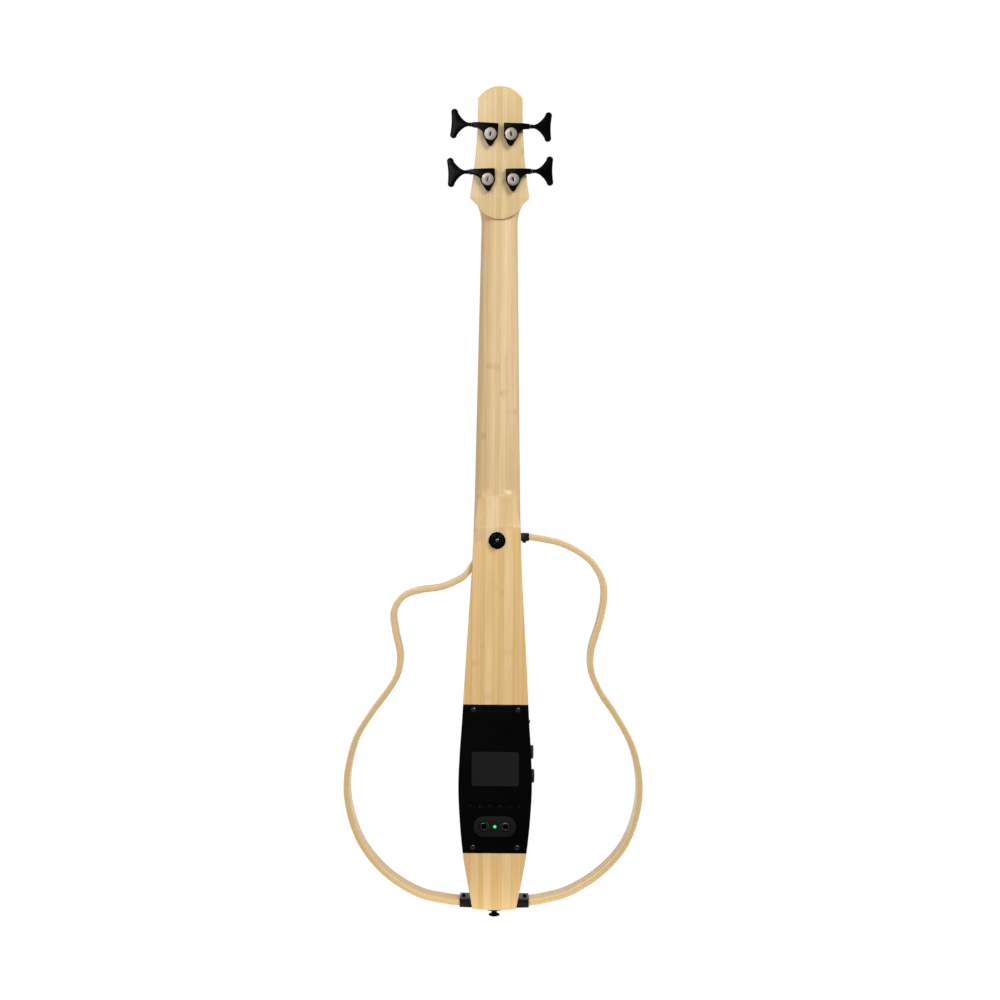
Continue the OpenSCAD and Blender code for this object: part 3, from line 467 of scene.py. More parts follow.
def painted(mesh, material):
    mesh.materials.clear()
    mesh.materials.append(material)


def piece(name, mesh, material, replaces, body=ROOT, sharp=32):
    """A finished piece: smoothed, painted, riding on its body and standing for its CAD node, if any."""
    tidy(mesh, sharp)
    painted(mesh, M[material])
    obj = link(name, mesh)
    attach(obj, body)
    if replaces:
        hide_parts(replaces)


def plate(loops, y0, y1, edge=0.0, steps=3):
    """A plate between two depths with rounded edges. The first loop is its outline in x and z, and the
    rest are holes."""
    curve = bpy.data.curves.new("plate", "CURVE")
    curve.dimensions = "2D"
    curve.fill_mode = "BOTH"
    curve.extrude = ((y1 - y0) / 2 - edge) * MM
    curve.bevel_depth = edge * MM
    curve.bevel_resolution = steps
    curve.offset = -edge * MM
    for loop in loops:
        spline = curve.splines.new("POLY")
        spline.points.add(len(loop) - 1)
        spline.use_cyclic_u = True
        for point, (x, z) in zip(spline.points, loop):
            point.co = (x * MM, z * MM, 0, 1)
    obj = link("plate", curve)
    bpy.context.view_layer.update()
    mesh = bpy.data.meshes.new_from_object(obj.evaluated_get(bpy.context.evaluated_depsgraph_get()))
    bpy.data.objects.remove(obj)
    mesh.transform(Matrix.Translation((0, (y0 + y1) / 2 * MM, 0)) @ Matrix.Rotation(math.pi / 2, 4, "X"))
    return tidy(mesh, 30)


def circle(cx, cz, r, n=40):
    return [(cx + r * math.cos(2 * math.pi * i / n),
             cz + r * math.sin(2 * math.pi * i / n)) for i in range(n)]


def arc(cx, cz, r, a0, a1, n):
    angles = [math.radians(a0 + (a1 - a0) * i / n) for i in range(n + 1)]
    return [(cx + r * math.cos(a), cz + r * math.sin(a)) for a in angles]


def stadium(half, r, z, n=14):
    return arc(half - r, z, r, -90, 90, n) + arc(r - half, z, r, 90, 270, n)


def rounded_box(x0, x1, z0, z1, r, n=6):
    return (arc(x1 - r, z1 - r, r, 0, 90, n) + arc(x0 + r, z1 - r, r, 90, 180, n)
            + arc(x0 + r, z0 + r, r, 180, 270, n) + arc(x1 - r, z0 + r, r, 270, 360, n))


def loft(rings):
    """A solid over a row of rings, with its ends capped."""
    n, m = len(rings[0]), len(rings)
    verts = [p for ring in rings for p in ring]
    faces = []
    for i in range(0, (m - 1) * n, n):
        faces += [(i + j, i + (j + 1) % n, i + n + (j + 1) % n, i + n + j) for j in range(n)]
    faces += [tuple(range(n))[::-1], tuple(range((m - 1) * n, m * n))]
    return from_faces(verts, faces)


def turned(profile, n=48, axis="Y", waves=None):
    """A solid turned about the Y or X axis. The profile is (radius, height) pairs, which begin and end
    on the axis or close into a ring. waves(angle, radius, height) may change the radius."""
    verts, faces, rings = [], [], []
    for r, h in profile:
        if r < 1e-6:
            rings.append([len(verts)])
            verts.append((0, h, 0))
            continue
        rings.append(list(range(len(verts), len(verts) + n)))
        for i in range(n):
            a = 2 * math.pi * i / n
            w = waves(a, r, h) if waves else r
            verts.append((w * math.cos(a), h, w * math.sin(a)))
    for a, b in zip(rings, rings[1:]):
        for i in range(n):
            k = (i + 1) % n
            if len(a) == 1:
                faces.append((a[0], b[k], b[i]))
            elif len(b) == 1:
                faces.append((a[i], a[k], b[0]))
            else:
                faces.append((a[i], a[k], b[k], b[i]))
    mesh = from_faces(verts, faces)
    if axis == "X":
        mesh.transform(Matrix.Rotation(-math.pi / 2, 4, "Z"))
    return tidy(mesh, 30)


def at(x, y, z):
    return Matrix.Translation((x * MM, y * MM, z * MM))


def rod(r, p, q, n=32):
    """A plain rod between two points, for cutting."""
    p, q = Vector(p) * MM, Vector(q) * MM
    mesh = turned([(0, 0), (r, 0), (r, (q - p).length / MM), (0, (q - p).length / MM)], n)
    mesh.transform(Matrix.Translation(p) @ Vector((0, 1, 0)).rotation_difference(q - p).to_matrix().to_4x4())
    return mesh


def brick(low, high):
    x0, y0, z0 = low
    x1, y1, z1 = high
    return from_faces(
        [(x0, y0, z0), (x1, y0, z0), (x1, y1, z0), (x0, y1, z0), (x0, y0, z1), (x1, y0, z1), (x1, y1, z1),
         (x0, y1, z1)],
        [(0, 3, 2, 1), (4, 5, 6, 7), (0, 1, 5, 4), (1, 2, 6, 5), (2, 3, 7, 6), (3, 0, 4, 7)])


def tube(points, r, n=14):
    """A round bar along a path, with the grain attribute: turn about the path and distance along it."""
    points = [Vector(p) for p in points]
    rings, grain, run = [], [], 0.0
    side = None
    for i, p in enumerate(points):
        t = (points[min(i + 1, len(points) - 1)] - points[max(i - 1, 0)]).normalized()
        if side is None:
            side = t.orthogonal().normalized()
        side = (side - t * side.dot(t)).normalized()
        up = t.cross(side)
        if i:
            run += (p - points[i - 1]).length
        angles = [2 * math.pi * k / n for k in range(n)]
        rings.append([p + (side * math.cos(a) + up * math.sin(a)) * r for a in angles])
        grain += [(k / n, 0, run * MM) for k in range(n)]
    return with_grain(loft(rings), grain)


def smooth_curve(p, steps):
    """A Catmull-Rom curve through the points, as the CAD has it."""
    last, out = len(p) - 1, []
    for i in range(last):
        a, b, c, d = (Vector(p[j]) for j in (max(i - 1, 0), i, i + 1, min(i + 2, last)))
        for k in range(steps):
            t = k / steps
            bend, twist = 2 * a - 5 * b + 4 * c - d, 3 * b - a - 3 * c + d
            out.append(0.5 * (2 * b + (c - a) * t + bend * t * t + twist * t**3))
    return [tuple(v) for v in out] + [tuple(p[last])]


def cross(size, depth, width):
    """Two crossed cutters for a screw's recess, at the origin and facing +Y."""
    return [brick((-size, -depth, -width / 2), (size, depth, width / 2)),
            brick((-width / 2, -depth, -size), (width / 2, depth, size))]


def screw_head(r, h, recess):
    """A domed head with a cross recess, sitting on the plane y = 0."""
    dome = turned([(0, -0.3), (r, -0.3), (r, h * 0.3), (r * 0.93, h * 0.55), (r * 0.75, h * 0.82),
                   (r * 0.4, h * 0.97), (0, h)], 32)
    return boolean(dome, [moved(c, at(0, h, 0)) for c in cross(r * 0.62, recess, r * 0.24)])


# ---------------------------------------------------------------- the body block

BODY_DEPTH, FRONT_BOARD = 42.0, 14.0
MODULE_TOP, MODULE_BOTTOM = -590.0, -768.6
BODY_EDGE = [(28.1, -370), (29.6, -420), (32, -465), (35, -515), (37.6, -560), (40.4, -610), (43, -650),
             (44.3, -690),
             (42.3, -730), (38.6, -767), (33, -800), (29.6, -818), (26.4, -835.3)]
EDGE_CURVE = smooth_curve(BODY_EDGE, 10)
TAIL_DROP = 1.6


def edge_at(z):
    """The body's half-width at a height."""
    for (x0, z0), (x1, z1) in zip(EDGE_CURVE, EDGE_CURVE[1:]):
        if z1 <= z <= z0:
            return x0 + (x1 - x0) * (z - z0) / (z1 - z0)
    return EDGE_CURVE[0][0] if z > EDGE_CURVE[0][1] else EDGE_CURVE[-1][0]


def mirrored(points):
    return [(-x, z) for x, z in reversed(points)]


tail_x, tail_z = BODY_EDGE[-1]
tail_arc = [(tail_x * (1 - i / 12), tail_z - TAIL_DROP * (1 - (1 - i / 12) ** 2)) for i in range(1, 13)]
body_outline = EDGE_CURVE + tail_arc + mirrored(tail_arc[:-1]) + mirrored(EDGE_CURVE)
HEEL_LINE_HIGH, HEEL_LINE_LOW = -378.5, -398.0
above_heel = plate([[(-60, HEEL_LINE_HIGH), (-10, HEEL_LINE_HIGH), (28, HEEL_LINE_LOW), (60, HEEL_LINE_LOW),
                     (60, 60), (-60, 60)]], -5, 60)
TREBLE_LINE = [(20, -409), (26, -418), (32, -427), (36, -433), (45, -440.5), (67, -450), (93, -454),
               (113, -462), (124, -480),
               (122, -503), (116, -532), (119, -556), (131, -577), (150, -603), (169, -636), (179, -682),
               (175, -723),
               (159, -763), (129, -797.5), (91, -820.5), (57, -828.2), (46, -829.6), (35, -831)]
BASS_LINE = [(-32, -388), (-41, -389.2), (-50, -390.4), (-75, -395.5), (-98, -406), (-116, -420.5),
             (-128, -442),
             (-129.5, -465), (-124, -493), (-115, -524), (-115, -550), (-126, -576), (-145, -604),
             (-165, -641),
             (-174, -682), (-171, -722), (-155.5, -762), (-127, -794), (-90, -817.5), (-57, -827),
             (-46, -828.8), (-35, -830.6)]
STRIP_T, STRIP_DEPTH = 7.0, 28.0
STRIP_Y = (BODY_DEPTH - STRIP_DEPTH) / 2


def strip_slot(tip, near, gap=0.15):
    """The straight slot that takes a strip's end."""
    turn = math.atan2(near[1] - tip[1], near[0] - tip[0])
    box = brick((0, STRIP_Y - gap, -STRIP_T / 2 - gap), (30, STRIP_Y + STRIP_DEPTH + gap, STRIP_T / 2 + gap))
    return moved(box, at(tip[0], 0, tip[1]) @ Matrix.Rotation(-turn, 4, "Y"))


TENON_HALF, TENON_DEPTH, TENON_END = 15.0, 20.0, -455.0
body_mesh = plate([body_outline], 0, BODY_DEPTH, 1.1)
body_mesh = boolean(body_mesh, [
    above_heel.copy(),
    brick((-60, FRONT_BOARD, MODULE_BOTTOM), (60, BODY_DEPTH + 2, MODULE_TOP)),
    brick((-TENON_HALF, -1, TENON_END), (TENON_HALF, TENON_DEPTH, -300)),
    strip_slot(TREBLE_LINE[0], TREBLE_LINE[2])])
piece("body_block_bamboo", body_mesh, "body_wood", "body_block", sharp=28)

# ---------------------------------------------------------------- neck, headstock and fingerboard

NUT_WIDTH, BOARD_END_WIDTH, BOARD_LENGTH, BOARD_T, BOARD_R = 43.8, 62.2, 532.0, 6.0, 400.0
SCALE, NUT_T, NUT_H = 726.0, 5.0, 8.3
NECK_DEPTH, NECK_DEPTH_LOW = 14.0, 17.0
HEEL_START, HEEL_END, CREASE_HALF = -338.0, -402.0, 11.0


def board_half(z):
    return (NUT_WIDTH + (BOARD_END_WIDTH - NUT_WIDTH) * -z / BOARD_LENGTH) / 2


def neck_half(z):
    return board_half(min(z, 0)) + 1.6 * (max(z + 9, 0) / 14) ** 2.3


def ease(t):
    t = min(max(t, 0), 1)
    return t * t * (3 - 2 * t)


def heel_way(z):
    return min(max((HEEL_START - z) / 39, 0), 1)


def heel_rise(z):
    return heel_way(z) * (1.5 - 0.5 * heel_way(z))


def neck_back(z):
    slope = (NECK_DEPTH_LOW - NECK_DEPTH) * min(max(-z, 0), -HEEL_START) / -HEEL_START
    return NECK_DEPTH + slope + (BODY_DEPTH - NECK_DEPTH_LOW - 0.2) * heel_rise(z)


def flat_half(z):
    """Half-width of the flat down the middle of the heel's slope."""
    return CREASE_HALF * ease((HEEL_START + 7 - z) / 9) + (neck_half(z) - 1.2 - CREASE_HALF) * heel_way(z)


def neck_ring(z, n=96):
    """Half-round section of the neck, with a flat in the middle at the heel."""
    power, flat, ring = 2 / (2.15 + 3.2 * heel_rise(z)), flat_half(z), []
    for i in range(n + 1):
        a = math.pi * i / n
        c = math.cos(a)
        side = 0 if abs(c) < 1e-9 else math.copysign(1, c)
        ring.append((side * (flat + (neck_half(z) - flat) * abs(c) ** power),
                     neck_back(z) * math.sin(a) ** power, z))
    return ring


neck_levels = ([HEEL_END - 6 + 2 * i for i in range(35)] + [-337, -336, -335, -334, -333, -332, -330, -327]
               + [-322 + 20 * i for i in range(16)] + [-14 + i for i in range(20)])
neck_full = loft([neck_ring(z) for z in neck_levels])
neck_mesh = boolean(neck_full, [above_heel], "INTERSECT")
neck_mesh = joined(neck_mesh, brick((-TENON_HALF + 0.05, 0, TENON_END + 0.05),
                                    (TENON_HALF - 0.05, TENON_DEPTH - 0.05, -380)))
piece("neck_bamboo", neck_mesh, "neck_wood", "neck", sharp=14)

HEAD_T, VENEER_T, HEAD_LENGTH = 18.5, 1.5, 152.2
HEAD = at(0, 0, NUT_T) @ Matrix.Rotation(-HEAD_TILT, 4, "X")
TUNER_PLACES = {"e": (-16.1, 42.5, 1.0), "a": (-13.1, 96.1, -1.3), "d": (11.7, 96.1, 3.0),
                "g": (14.7, 42.5, -2.3)}
SHOULDER_U, TONGUE_R, TONGUE_U = 22.0, 30.4, -5.0
POST_HOLE_R = 6.5
ROD_COVER_SCREWS = [(-6.5, 4.5), (6.5, 4.5), (0, 29)]


def head_half_width(u):
    return 26.8 + 9.1 * (max(136 - u, 0) / (136 - SHOULDER_U)) ** 2.2


head_half = (arc(0, TONGUE_U + TONGUE_R, TONGUE_R, -90, -32, 20) + smooth_curve(
    [(25.78, 9.29), (28.6, 12.6), (32.2, 16.4), (34.7, 18.5), (35.7, 20)], 3)[1:]
             + [(head_half_width(u), u) for u in [SHOULDER_U + 114 * i / 26 for i in range(27)]]
             + [(26.4, 138.2)] + arc(0, HEAD_LENGTH - 32, 32, 37, 90, 18))
head_outline = head_half + mirrored(head_half[1:-1])
post_holes = [circle(x, u, POST_HOLE_R) for x, u, _ in TUNER_PLACES.values()]
head_mesh = plate([head_outline, *post_holes], VENEER_T, HEAD_T, 0.9)
head_mesh.transform(HEAD)
rod_pocket = moved(brick((-4.6, -1, -1), (4.6, 9, 24)), HEAD)
below_nut = brick((-50, -20, -30), (50, 9.5, NUT_T))
flare = boolean(loft([neck_ring(NUT_T + i) for i in range(11)]),
                [moved(brick((-40, VENEER_T, -1), (40, HEAD_T - 1, 12)), HEAD)], "INTERSECT")
head_mesh = boolean(boolean(head_mesh, [flare], "UNION"), [
    loft([neck_ring(z) for z in [-14 + 0.5 * i for i in range(39)]]),
    below_nut,
    rod_pocket])
piece("headstock_bamboo", head_mesh, "head_wood", "headstock", sharp=28)

face_mesh = plate([head_outline, *post_holes], 0, VENEER_T + 0.001, 0.35)
face_mesh.transform(HEAD)
face_mesh = boolean(face_mesh, [below_nut, rod_pocket])
piece("headstock_face_veneer", face_mesh, "face_wood", "headstock_face", sharp=28)


def crown(x):
    return x * x / (2 * BOARD_R)


def board_ring(z, edge=0.5, n=20):
    """Section of the fingerboard: flat glue face, rolled edges and a crowned playing face."""
    h = board_half(z)
    ring = [(h, 0, z), (h, -BOARD_T + crown(h) + edge, z)]
    for i in range(1, 4):
        a = math.radians(30 * i)
        ring.append((h - edge + edge * math.cos(a), -BOARD_T + crown(h) + edge - edge * math.sin(a), z))
    for i in range(1, n):
        x = (h - edge) * (1 - 2 * i / n)
        ring.append((x, -BOARD_T + crown(x), z))
    for i in range(3, -1, -1):
        a = math.radians(30 * i)
        ring.append((-h + edge - edge * math.cos(a), -BOARD_T + crown(h) + edge - edge * math.sin(a), z))
    ring.append((-h, 0, z))
    return ring


piece("fingerboard_wood", loft([board_ring(z) for z in [-BOARD_LENGTH + 14 * i for i in range(38)] + [0]]),
      "dark_wood", "fingerboard", sharp=40)


def fret_z(i):
    return -SCALE * (1 - 2 ** (-i / 12))


def fret_mesh(i, crown_h=1.1, half=1.2):
    """One fret: a rounded crown across the board, whose ends slope in."""
    z, rings = fret_z(i), []
    h = board_half(z)
    for k in range(25):
        x = h * (1 - 2 * k / 24)
        rise = crown_h * min(1, (h - abs(x)) / 1.6 + 0.12) if abs(x) > h - 1.6 else crown_h
        y = -BOARD_T + crown(x)
        section = [(x, y + 0.4, z + half)] + [(x, y - rise * math.sin(math.radians(a)),
                                               z + half * math.cos(math.radians(a)))
                                              for a in range(0, 181, 20)] + [(x, y + 0.4, z - half)]
        rings.append(section)
    return loft(rings)


piece("fret_wires", joined(*(fret_mesh(i) for i in range(1, 23))), "fret_metal", "frets", sharp=40)

DOTS = [(0, (fret_z(i) + fret_z(i - 1)) / 2) for i in (3, 5, 7, 9, 15, 17, 19, 21)]
DOTS += [(x, (fret_z(12) + fret_z(11)) / 2) for x in (-11, 11)]


def dot_mesh(x, z):
    dot = turned([(0, 1.0), (3.0, 1.0), (3.0, -0.03), (2.4, -0.05), (1.2, -0.05), (0, -0.05)], 40)
    return moved(dot, at(x, -BOARD_T + crown(x) + 0.02, z) @ Matrix.Rotation(x / BOARD_R, 4, "Z"))


piece("inlay_dots", joined(*(dot_mesh(*d) for d in DOTS)), "pearl", "position_dots")

GAUGE = {"e": (2.6, 2), "a": (2.1, 3), "d": (1.6, 4), "g": (1.15, 4)}
NUT_SPREAD, SADDLE_SPREAD = 32.0, 54.0
SADDLE_Z, SADDLE_TOP, SADDLE_HALF = -726.0, -11.4, 33.0
ANCHOR_Y, BRIDGE_Z = -5.4, (-752.0, -712.0)
TROUGH = (-743.5, -729.5)
SPOOL_R = 4.4


def string_x(s, spread):
    return (STRINGS.index(s) / 3 - 0.5) * spread


def gauge_r(s):
    return GAUGE[s][0] / 2


def wrap_v(s):
    return -3.2 - gauge_r(s) * (2 * GAUGE[s][1] + 1) - 0.15


def head_point(x, v, u):
    return tuple(c / MM for c in HEAD @ Vector((x * MM, v * MM, u * MM)))


def side_of(s):
    return math.copysign(1, TUNER_PLACES[s][0])


def string_points(s):
    r, xn, xs = gauge_r(s), string_x(s, NUT_SPREAD), string_x(s, SADDLE_SPREAD)
    x, u, _ = TUNER_PLACES[s]
    return [(xs, ANCHOR_Y, BRIDGE_Z[0] - 1), (xs, ANCHOR_Y, TROUGH[0] + 1.5),
            (xs, SADDLE_TOP - r + crown(xs), SADDLE_Z),
            (xn, crown(xn) - 7.7 - r, NUT_T / 2), head_point(x - side_of(s) * (SPOOL_R + r + 0.25), wrap_v(s),
                                                             u + 1)]


def softened(points, reach=2.5, steps=5):
    """The path with each bend drawn out into a short curve."""
    p = [Vector(q) for q in points]
    out = [p[0]]
    for a, b, c in zip(p, p[1:], p[2:]):
        start = b + (a - b).normalized() * min(reach, (a - b).length / 2)
        end = b + (c - b).normalized() * min(reach, (c - b).length / 2)
        for i in range(steps + 1):
            t = i / steps
            out.append(start * (1 - t) ** 2 + b * 2 * t * (1 - t) + end * t * t)
    out.append(p[-1])
    return out


for s in STRINGS:
    wire = tube(softened(string_points(s)), gauge_r(s) - 0.01)
    ball = turned([(0, -1.8), (1.6, -1.8), (2.4, -1.4), (2.7, -0.6), (2.7, 0.6), (2.4, 1.4), (1.6, 1.8),
                   (0, 1.8)], 28, "X")
    ball.transform(at(string_x(s, SADDLE_SPREAD), ANCHOR_Y, BRIDGE_Z[0] - 2.7))
    piece(f"string_{s}_wire", wire, f"wire_{s}", f"string_{s}")
    piece(f"string_{s}_ball_end", ball, "steel", None)

nut_rings = []
for i in range(61):
    x = NUT_WIDTH / 2 * (1 - 2 * i / 60)
    top = NUT_H - crown(x)
    for s in STRINGS:
        d, r = abs(x - string_x(s, NUT_SPREAD)), gauge_r(s)
        if d < r + 0.5:
            top = min(top, 7.72 - crown(x) + (0 if d < r * 0.8 else (d - r * 0.8) * 0.7))
    if abs(x) > NUT_WIDTH / 2 - 0.8:
        top -= (abs(x) - NUT_WIDTH / 2 + 0.8) * 0.6
    nut_rings.append([(x, 0, 0), (x, -top + 0.5, 0), (x, -top + 0.12, 0.2), (x, -top, 0.7),
                      (x, -top + 0.1, 2.5),
                      (x, -top + 0.6, 3.9), (x, -top + 1.3, 4.7), (x, -top + 1.9, NUT_T), (x, 0, NUT_T)])
piece("nut_bone", loft(nut_rings), "bone", "nut", sharp=45)

cover_outline = [(-8.5, 1), (8.5, 1), (8.5, 8)] + arc(0, 29, 4.5, -20, 200, 20) + [(-8.5, 8)]
rod_cover = plate([cover_outline, *(circle(x, u, 1.2, 20) for x, u in ROD_COVER_SCREWS)], -1.6, 0, 0.35)
piece("truss_rod_cover_shell", moved(rod_cover, HEAD), "gloss", "truss_rod_cover")

# ---------------------------------------------------------------- bridge and saddle

bridge_loop = rounded_box(-39, 39, BRIDGE_Z[0], BRIDGE_Z[1], 5)
bridge_mesh = plate([bridge_loop], -8.5, 0, 1.4)
bridge_mesh = boolean(bridge_mesh, [
    brick((-34, -9.5, TROUGH[0]), (34, -3, TROUGH[1])),
    brick((-SADDLE_HALF, -9.5, SADDLE_Z - 1.5), (SADDLE_HALF, -2.6, SADDLE_Z + 1.5)),
    *(rod(1.7, (string_x(s, SADDLE_SPREAD), ANCHOR_Y, BRIDGE_Z[0] - 3),
          (string_x(s, SADDLE_SPREAD), ANCHOR_Y, TROUGH[0] + 1), 24)
      for s in STRINGS)])
piece("bridge_wood", bridge_mesh, "dark_wood", "bridge", sharp=28)

saddle_rings = []
for i in range(49):
    x = SADDLE_HALF * (1 - 2 * i / 48)
    top = SADDLE_TOP + crown(x) + (0.5 if abs(x) > SADDLE_HALF - 0.5 else 0)
    saddle_rings.append([(x, -4, SADDLE_Z - 1.48), (x, top + 1.1, SADDLE_Z - 1.48),
                         (x, top + 0.35, SADDLE_Z - 1.1),
                         (x, top, SADDLE_Z - 0.2), (x, top, SADDLE_Z + 0.3), (x, top + 0.5, SADDLE_Z + 1.15),
                         (x, top + 1.2, SADDLE_Z + 1.48), (x, -4, SADDLE_Z + 1.48)])
piece("saddle_bone", loft(saddle_rings), "bone", "saddle", sharp=45)

# ---------------------------------------------------------------- side frames and clamps


def strip_mesh(line, steps=9):
    """A bent strip with rounded edges. Its grain is across the strip, its depth and the distance along it."""
    path = [Vector(p) for p in smooth_curve(line, steps)]
    h, b, y0, y1 = STRIP_T / 2 - 0.02, 1.5, STRIP_Y, STRIP_Y + STRIP_DEPTH
    corners = [(h - b, y0 + b, 270), (h - b, y1 - b, 0), (b - h, y1 - b, 90), (b - h, y0 + b, 180)]
    section = [(cx + b * math.cos(math.radians(a0 + 22.5 * k)),
                cy + b * math.sin(math.radians(a0 + 22.5 * k)))
               for cx, cy, a0 in corners for k in range(5)]
    rings, grain, run = [], [], 0.0
    for i, p in enumerate(path):
        t = (path[min(i + 1, len(path) - 1)] - path[max(i - 1, 0)]).normalized()
        run += (p - path[i - 1]).length if i else 0
        rings.append([(p.x + t.y * q, y, p.y - t.x * q) for q, y in section])
        grain += [(q * MM, y * MM, run * MM) for q, y in section]
    return with_grain(loft(rings), grain)


piece("treble_frame_strip", strip_mesh(TREBLE_LINE), "frame_wood", "treble_frame", sharp=40)
piece("bass_frame_strip", strip_mesh(BASS_LINE), "frame_wood", "bass_frame", sharp=40)

CLAMP_END, CLAMP_TOP, CLAMP_BOTTOM = 41.6, -824.6, -835.8
CLAMP_Y = (STRIP_Y - 2, STRIP_Y + STRIP_DEPTH + 2)
TAIL_SCREW_X, UPPER_SCREW_X = 36.8, -33.0
UPPER_TOP, UPPER_BOTTOM, UPPER_END = -384.2, -393.6, -38.4


def tail_clamp_mesh(side, line):
    walls = [(edge_at(z) + 0.02, z) for z in (CLAMP_TOP, -827, -830, -833, CLAMP_BOTTOM + 0.75)]
    loop = [(CLAMP_END, CLAMP_BOTTOM + 1.2), (CLAMP_END, CLAMP_TOP)] + walls
    mesh = plate([loop], *CLAMP_Y, 0.7)
    if side < 0:
        mesh = moved(mesh, Matrix.Diagonal((-1, 1, 1, 1)))
    return boolean(mesh, [strip_slot(line[-1], line[-3], 0.05)])


upper_loop = [(-edge_at(UPPER_BOTTOM), UPPER_BOTTOM), (UPPER_END, UPPER_BOTTOM), (UPPER_END, UPPER_TOP),
              (-edge_at(UPPER_TOP), UPPER_TOP)]
upper_clamp = boolean(plate([upper_loop], *CLAMP_Y, 0.7), [strip_slot(BASS_LINE[0], BASS_LINE[2], 0.05)])
clamps = joined(tail_clamp_mesh(1, TREBLE_LINE), tail_clamp_mesh(-1, BASS_LINE), upper_clamp)
piece("frame_clamp_blocks", clamps, "clamp_black", "frame_clamps", sharp=28)

socket = boolean(
    turned([(0, -1.7), (1.22, -1.7), (1.22, 0), (2.1, 0), (2.3, 0.25), (2.3, 1.9), (1.9, 2.4), (0, 2.4)], 36,
           "Y"),
    [turned([(0, 1.2), (1.25, 1.2), (1.25, 3), (0, 3)], 6, "Y")])
clamp_screws = [moved(socket, at(x, BODY_DEPTH / 2,
                                 z) @ Matrix.Rotation(math.copysign(math.pi / 2, MODULE_TOP - z), 4, "X"))
                for x, z in ((TAIL_SCREW_X, CLAMP_TOP), (-TAIL_SCREW_X, CLAMP_TOP),
                             (UPPER_SCREW_X, UPPER_BOTTOM))]
piece("clamp_screw_heads", joined(*clamp_screws), "black_metal", "clamp_screws")

# ---------------------------------------------------------------- strap buttons

button_profile = [(0, 0), (9.9, 0), (10.2, 0.3), (10.2, 0.9), (10.0, 1.25), (9.5, 1.5), (6.4, 1.85),
                  (4.6, 2.2), (3.6, 2.9),
                  (3.2, 3.9), (3.3, 5.1), (4.2, 5.9), (6.0, 6.6), (6.6, 7.0), (6.8, 7.5), (6.75, 8.0),
                  (6.4, 8.5), (5.7, 8.9),
                  (5.0, 9.0), (4.4, 8.9), (3.9, 8.5), (3.7, 8.1), (3.65, 6.8), (0, 6.7)]
strap_button = turned(button_profile, 64)
HEEL_BUTTON_Z, TAIL_BUTTON_Y = -393.0, 30.5
heel_at = at(0, BODY_DEPTH, HEEL_BUTTON_Z)
tail_at = at(0, TAIL_BUTTON_Y, tail_z - TAIL_DROP) @ Matrix.Rotation(-math.pi / 2, 4, "X")
piece("heel_strap_button_body", moved(strap_button, heel_at), "gloss", "heel_strap_button")
piece("tail_strap_button_body", moved(strap_button, tail_at), "gloss", "tail_strap_button")
strap_screw = moved(screw_head(2.9, 1.2, 0.6), at(0, 6.9, 0))
piece("strap_screw_heads", joined(moved(strap_screw, heel_at), moved(strap_screw, tail_at)), "black_chrome",
      "strap_screws")

# ---------------------------------------------------------------- tuners

WORM_OFFSET, HOUSING_H, CAP_R, CAP_DISC_R, SHELL_R = 9.3, 7.4, 8.0, 7.3, 8.9
BAR_TIP_HALF, BAR_REACH, KEY_T, KEY_SPAN, EAR_REACH = 3.1, 21.6, 5.2, 34.8, 11.0
WORM_V = HEAD_T + 4
KEY_START = BAR_REACH + 3


def tuner_at(s):
    x, u, turn = TUNER_PLACES[s]
    flip = Matrix.Diagonal((-1, 1, 1, 1)) if x < 0 else Matrix.Identity(4)
    return HEAD @ at(x, 0, u) @ flip @ Matrix.Rotation(-math.radians(turn), 4, "Y")


housing_loop = (arc(0, 0, SHELL_R, 4, -26, 10)
                + [(2.3, -EAR_REACH - 1.9), (1.3, -EAR_REACH - 2.9), (-0.3, -EAR_REACH - 3.4),
                   (-1.9, -EAR_REACH - 2.9),
                   (-2.9, -EAR_REACH - 1.9)]
                + arc(0, 0, SHELL_R, -154, -178, 8)
                + [(-SHELL_R, 12.1), (-8.7, 12.65), (-8.1, 12.88), (14.0, 12.88), (15.0, 12.8),
                   (BAR_REACH, WORM_OFFSET + BAR_TIP_HALF), (BAR_REACH, WORM_OFFSET - BAR_TIP_HALF),
                   (15.0, 5.8), (13.6, 4.95), (10.2, 2.3)])
housing = plate([housing_loop], HEAD_T, HEAD_T + HOUSING_H, 0.7)
top = HEAD_T + HOUSING_H
housing = boolean(housing, [
    rod(7.2, (0, HEAD_T + 1.2, 0), (0, top + 1, 0), 48),
    rod(CAP_R + 0.05, (0, top - 1, 0), (0, top + 1, 0), 48),
    rod(4.9, (0, HEAD_T - 1, 0), (0, HEAD_T + 3, 0), 40),
    rod(2.55, (-6, WORM_V, WORM_OFFSET), (12, WORM_V, WORM_OFFSET)),
    rod(1.76, (11, WORM_V, WORM_OFFSET), (BAR_REACH + 1, WORM_V, WORM_OFFSET)),
    rod(2.6, (-0.3, HEAD_T + 4, -EAR_REACH), (-0.3, top + 1, -EAR_REACH))])

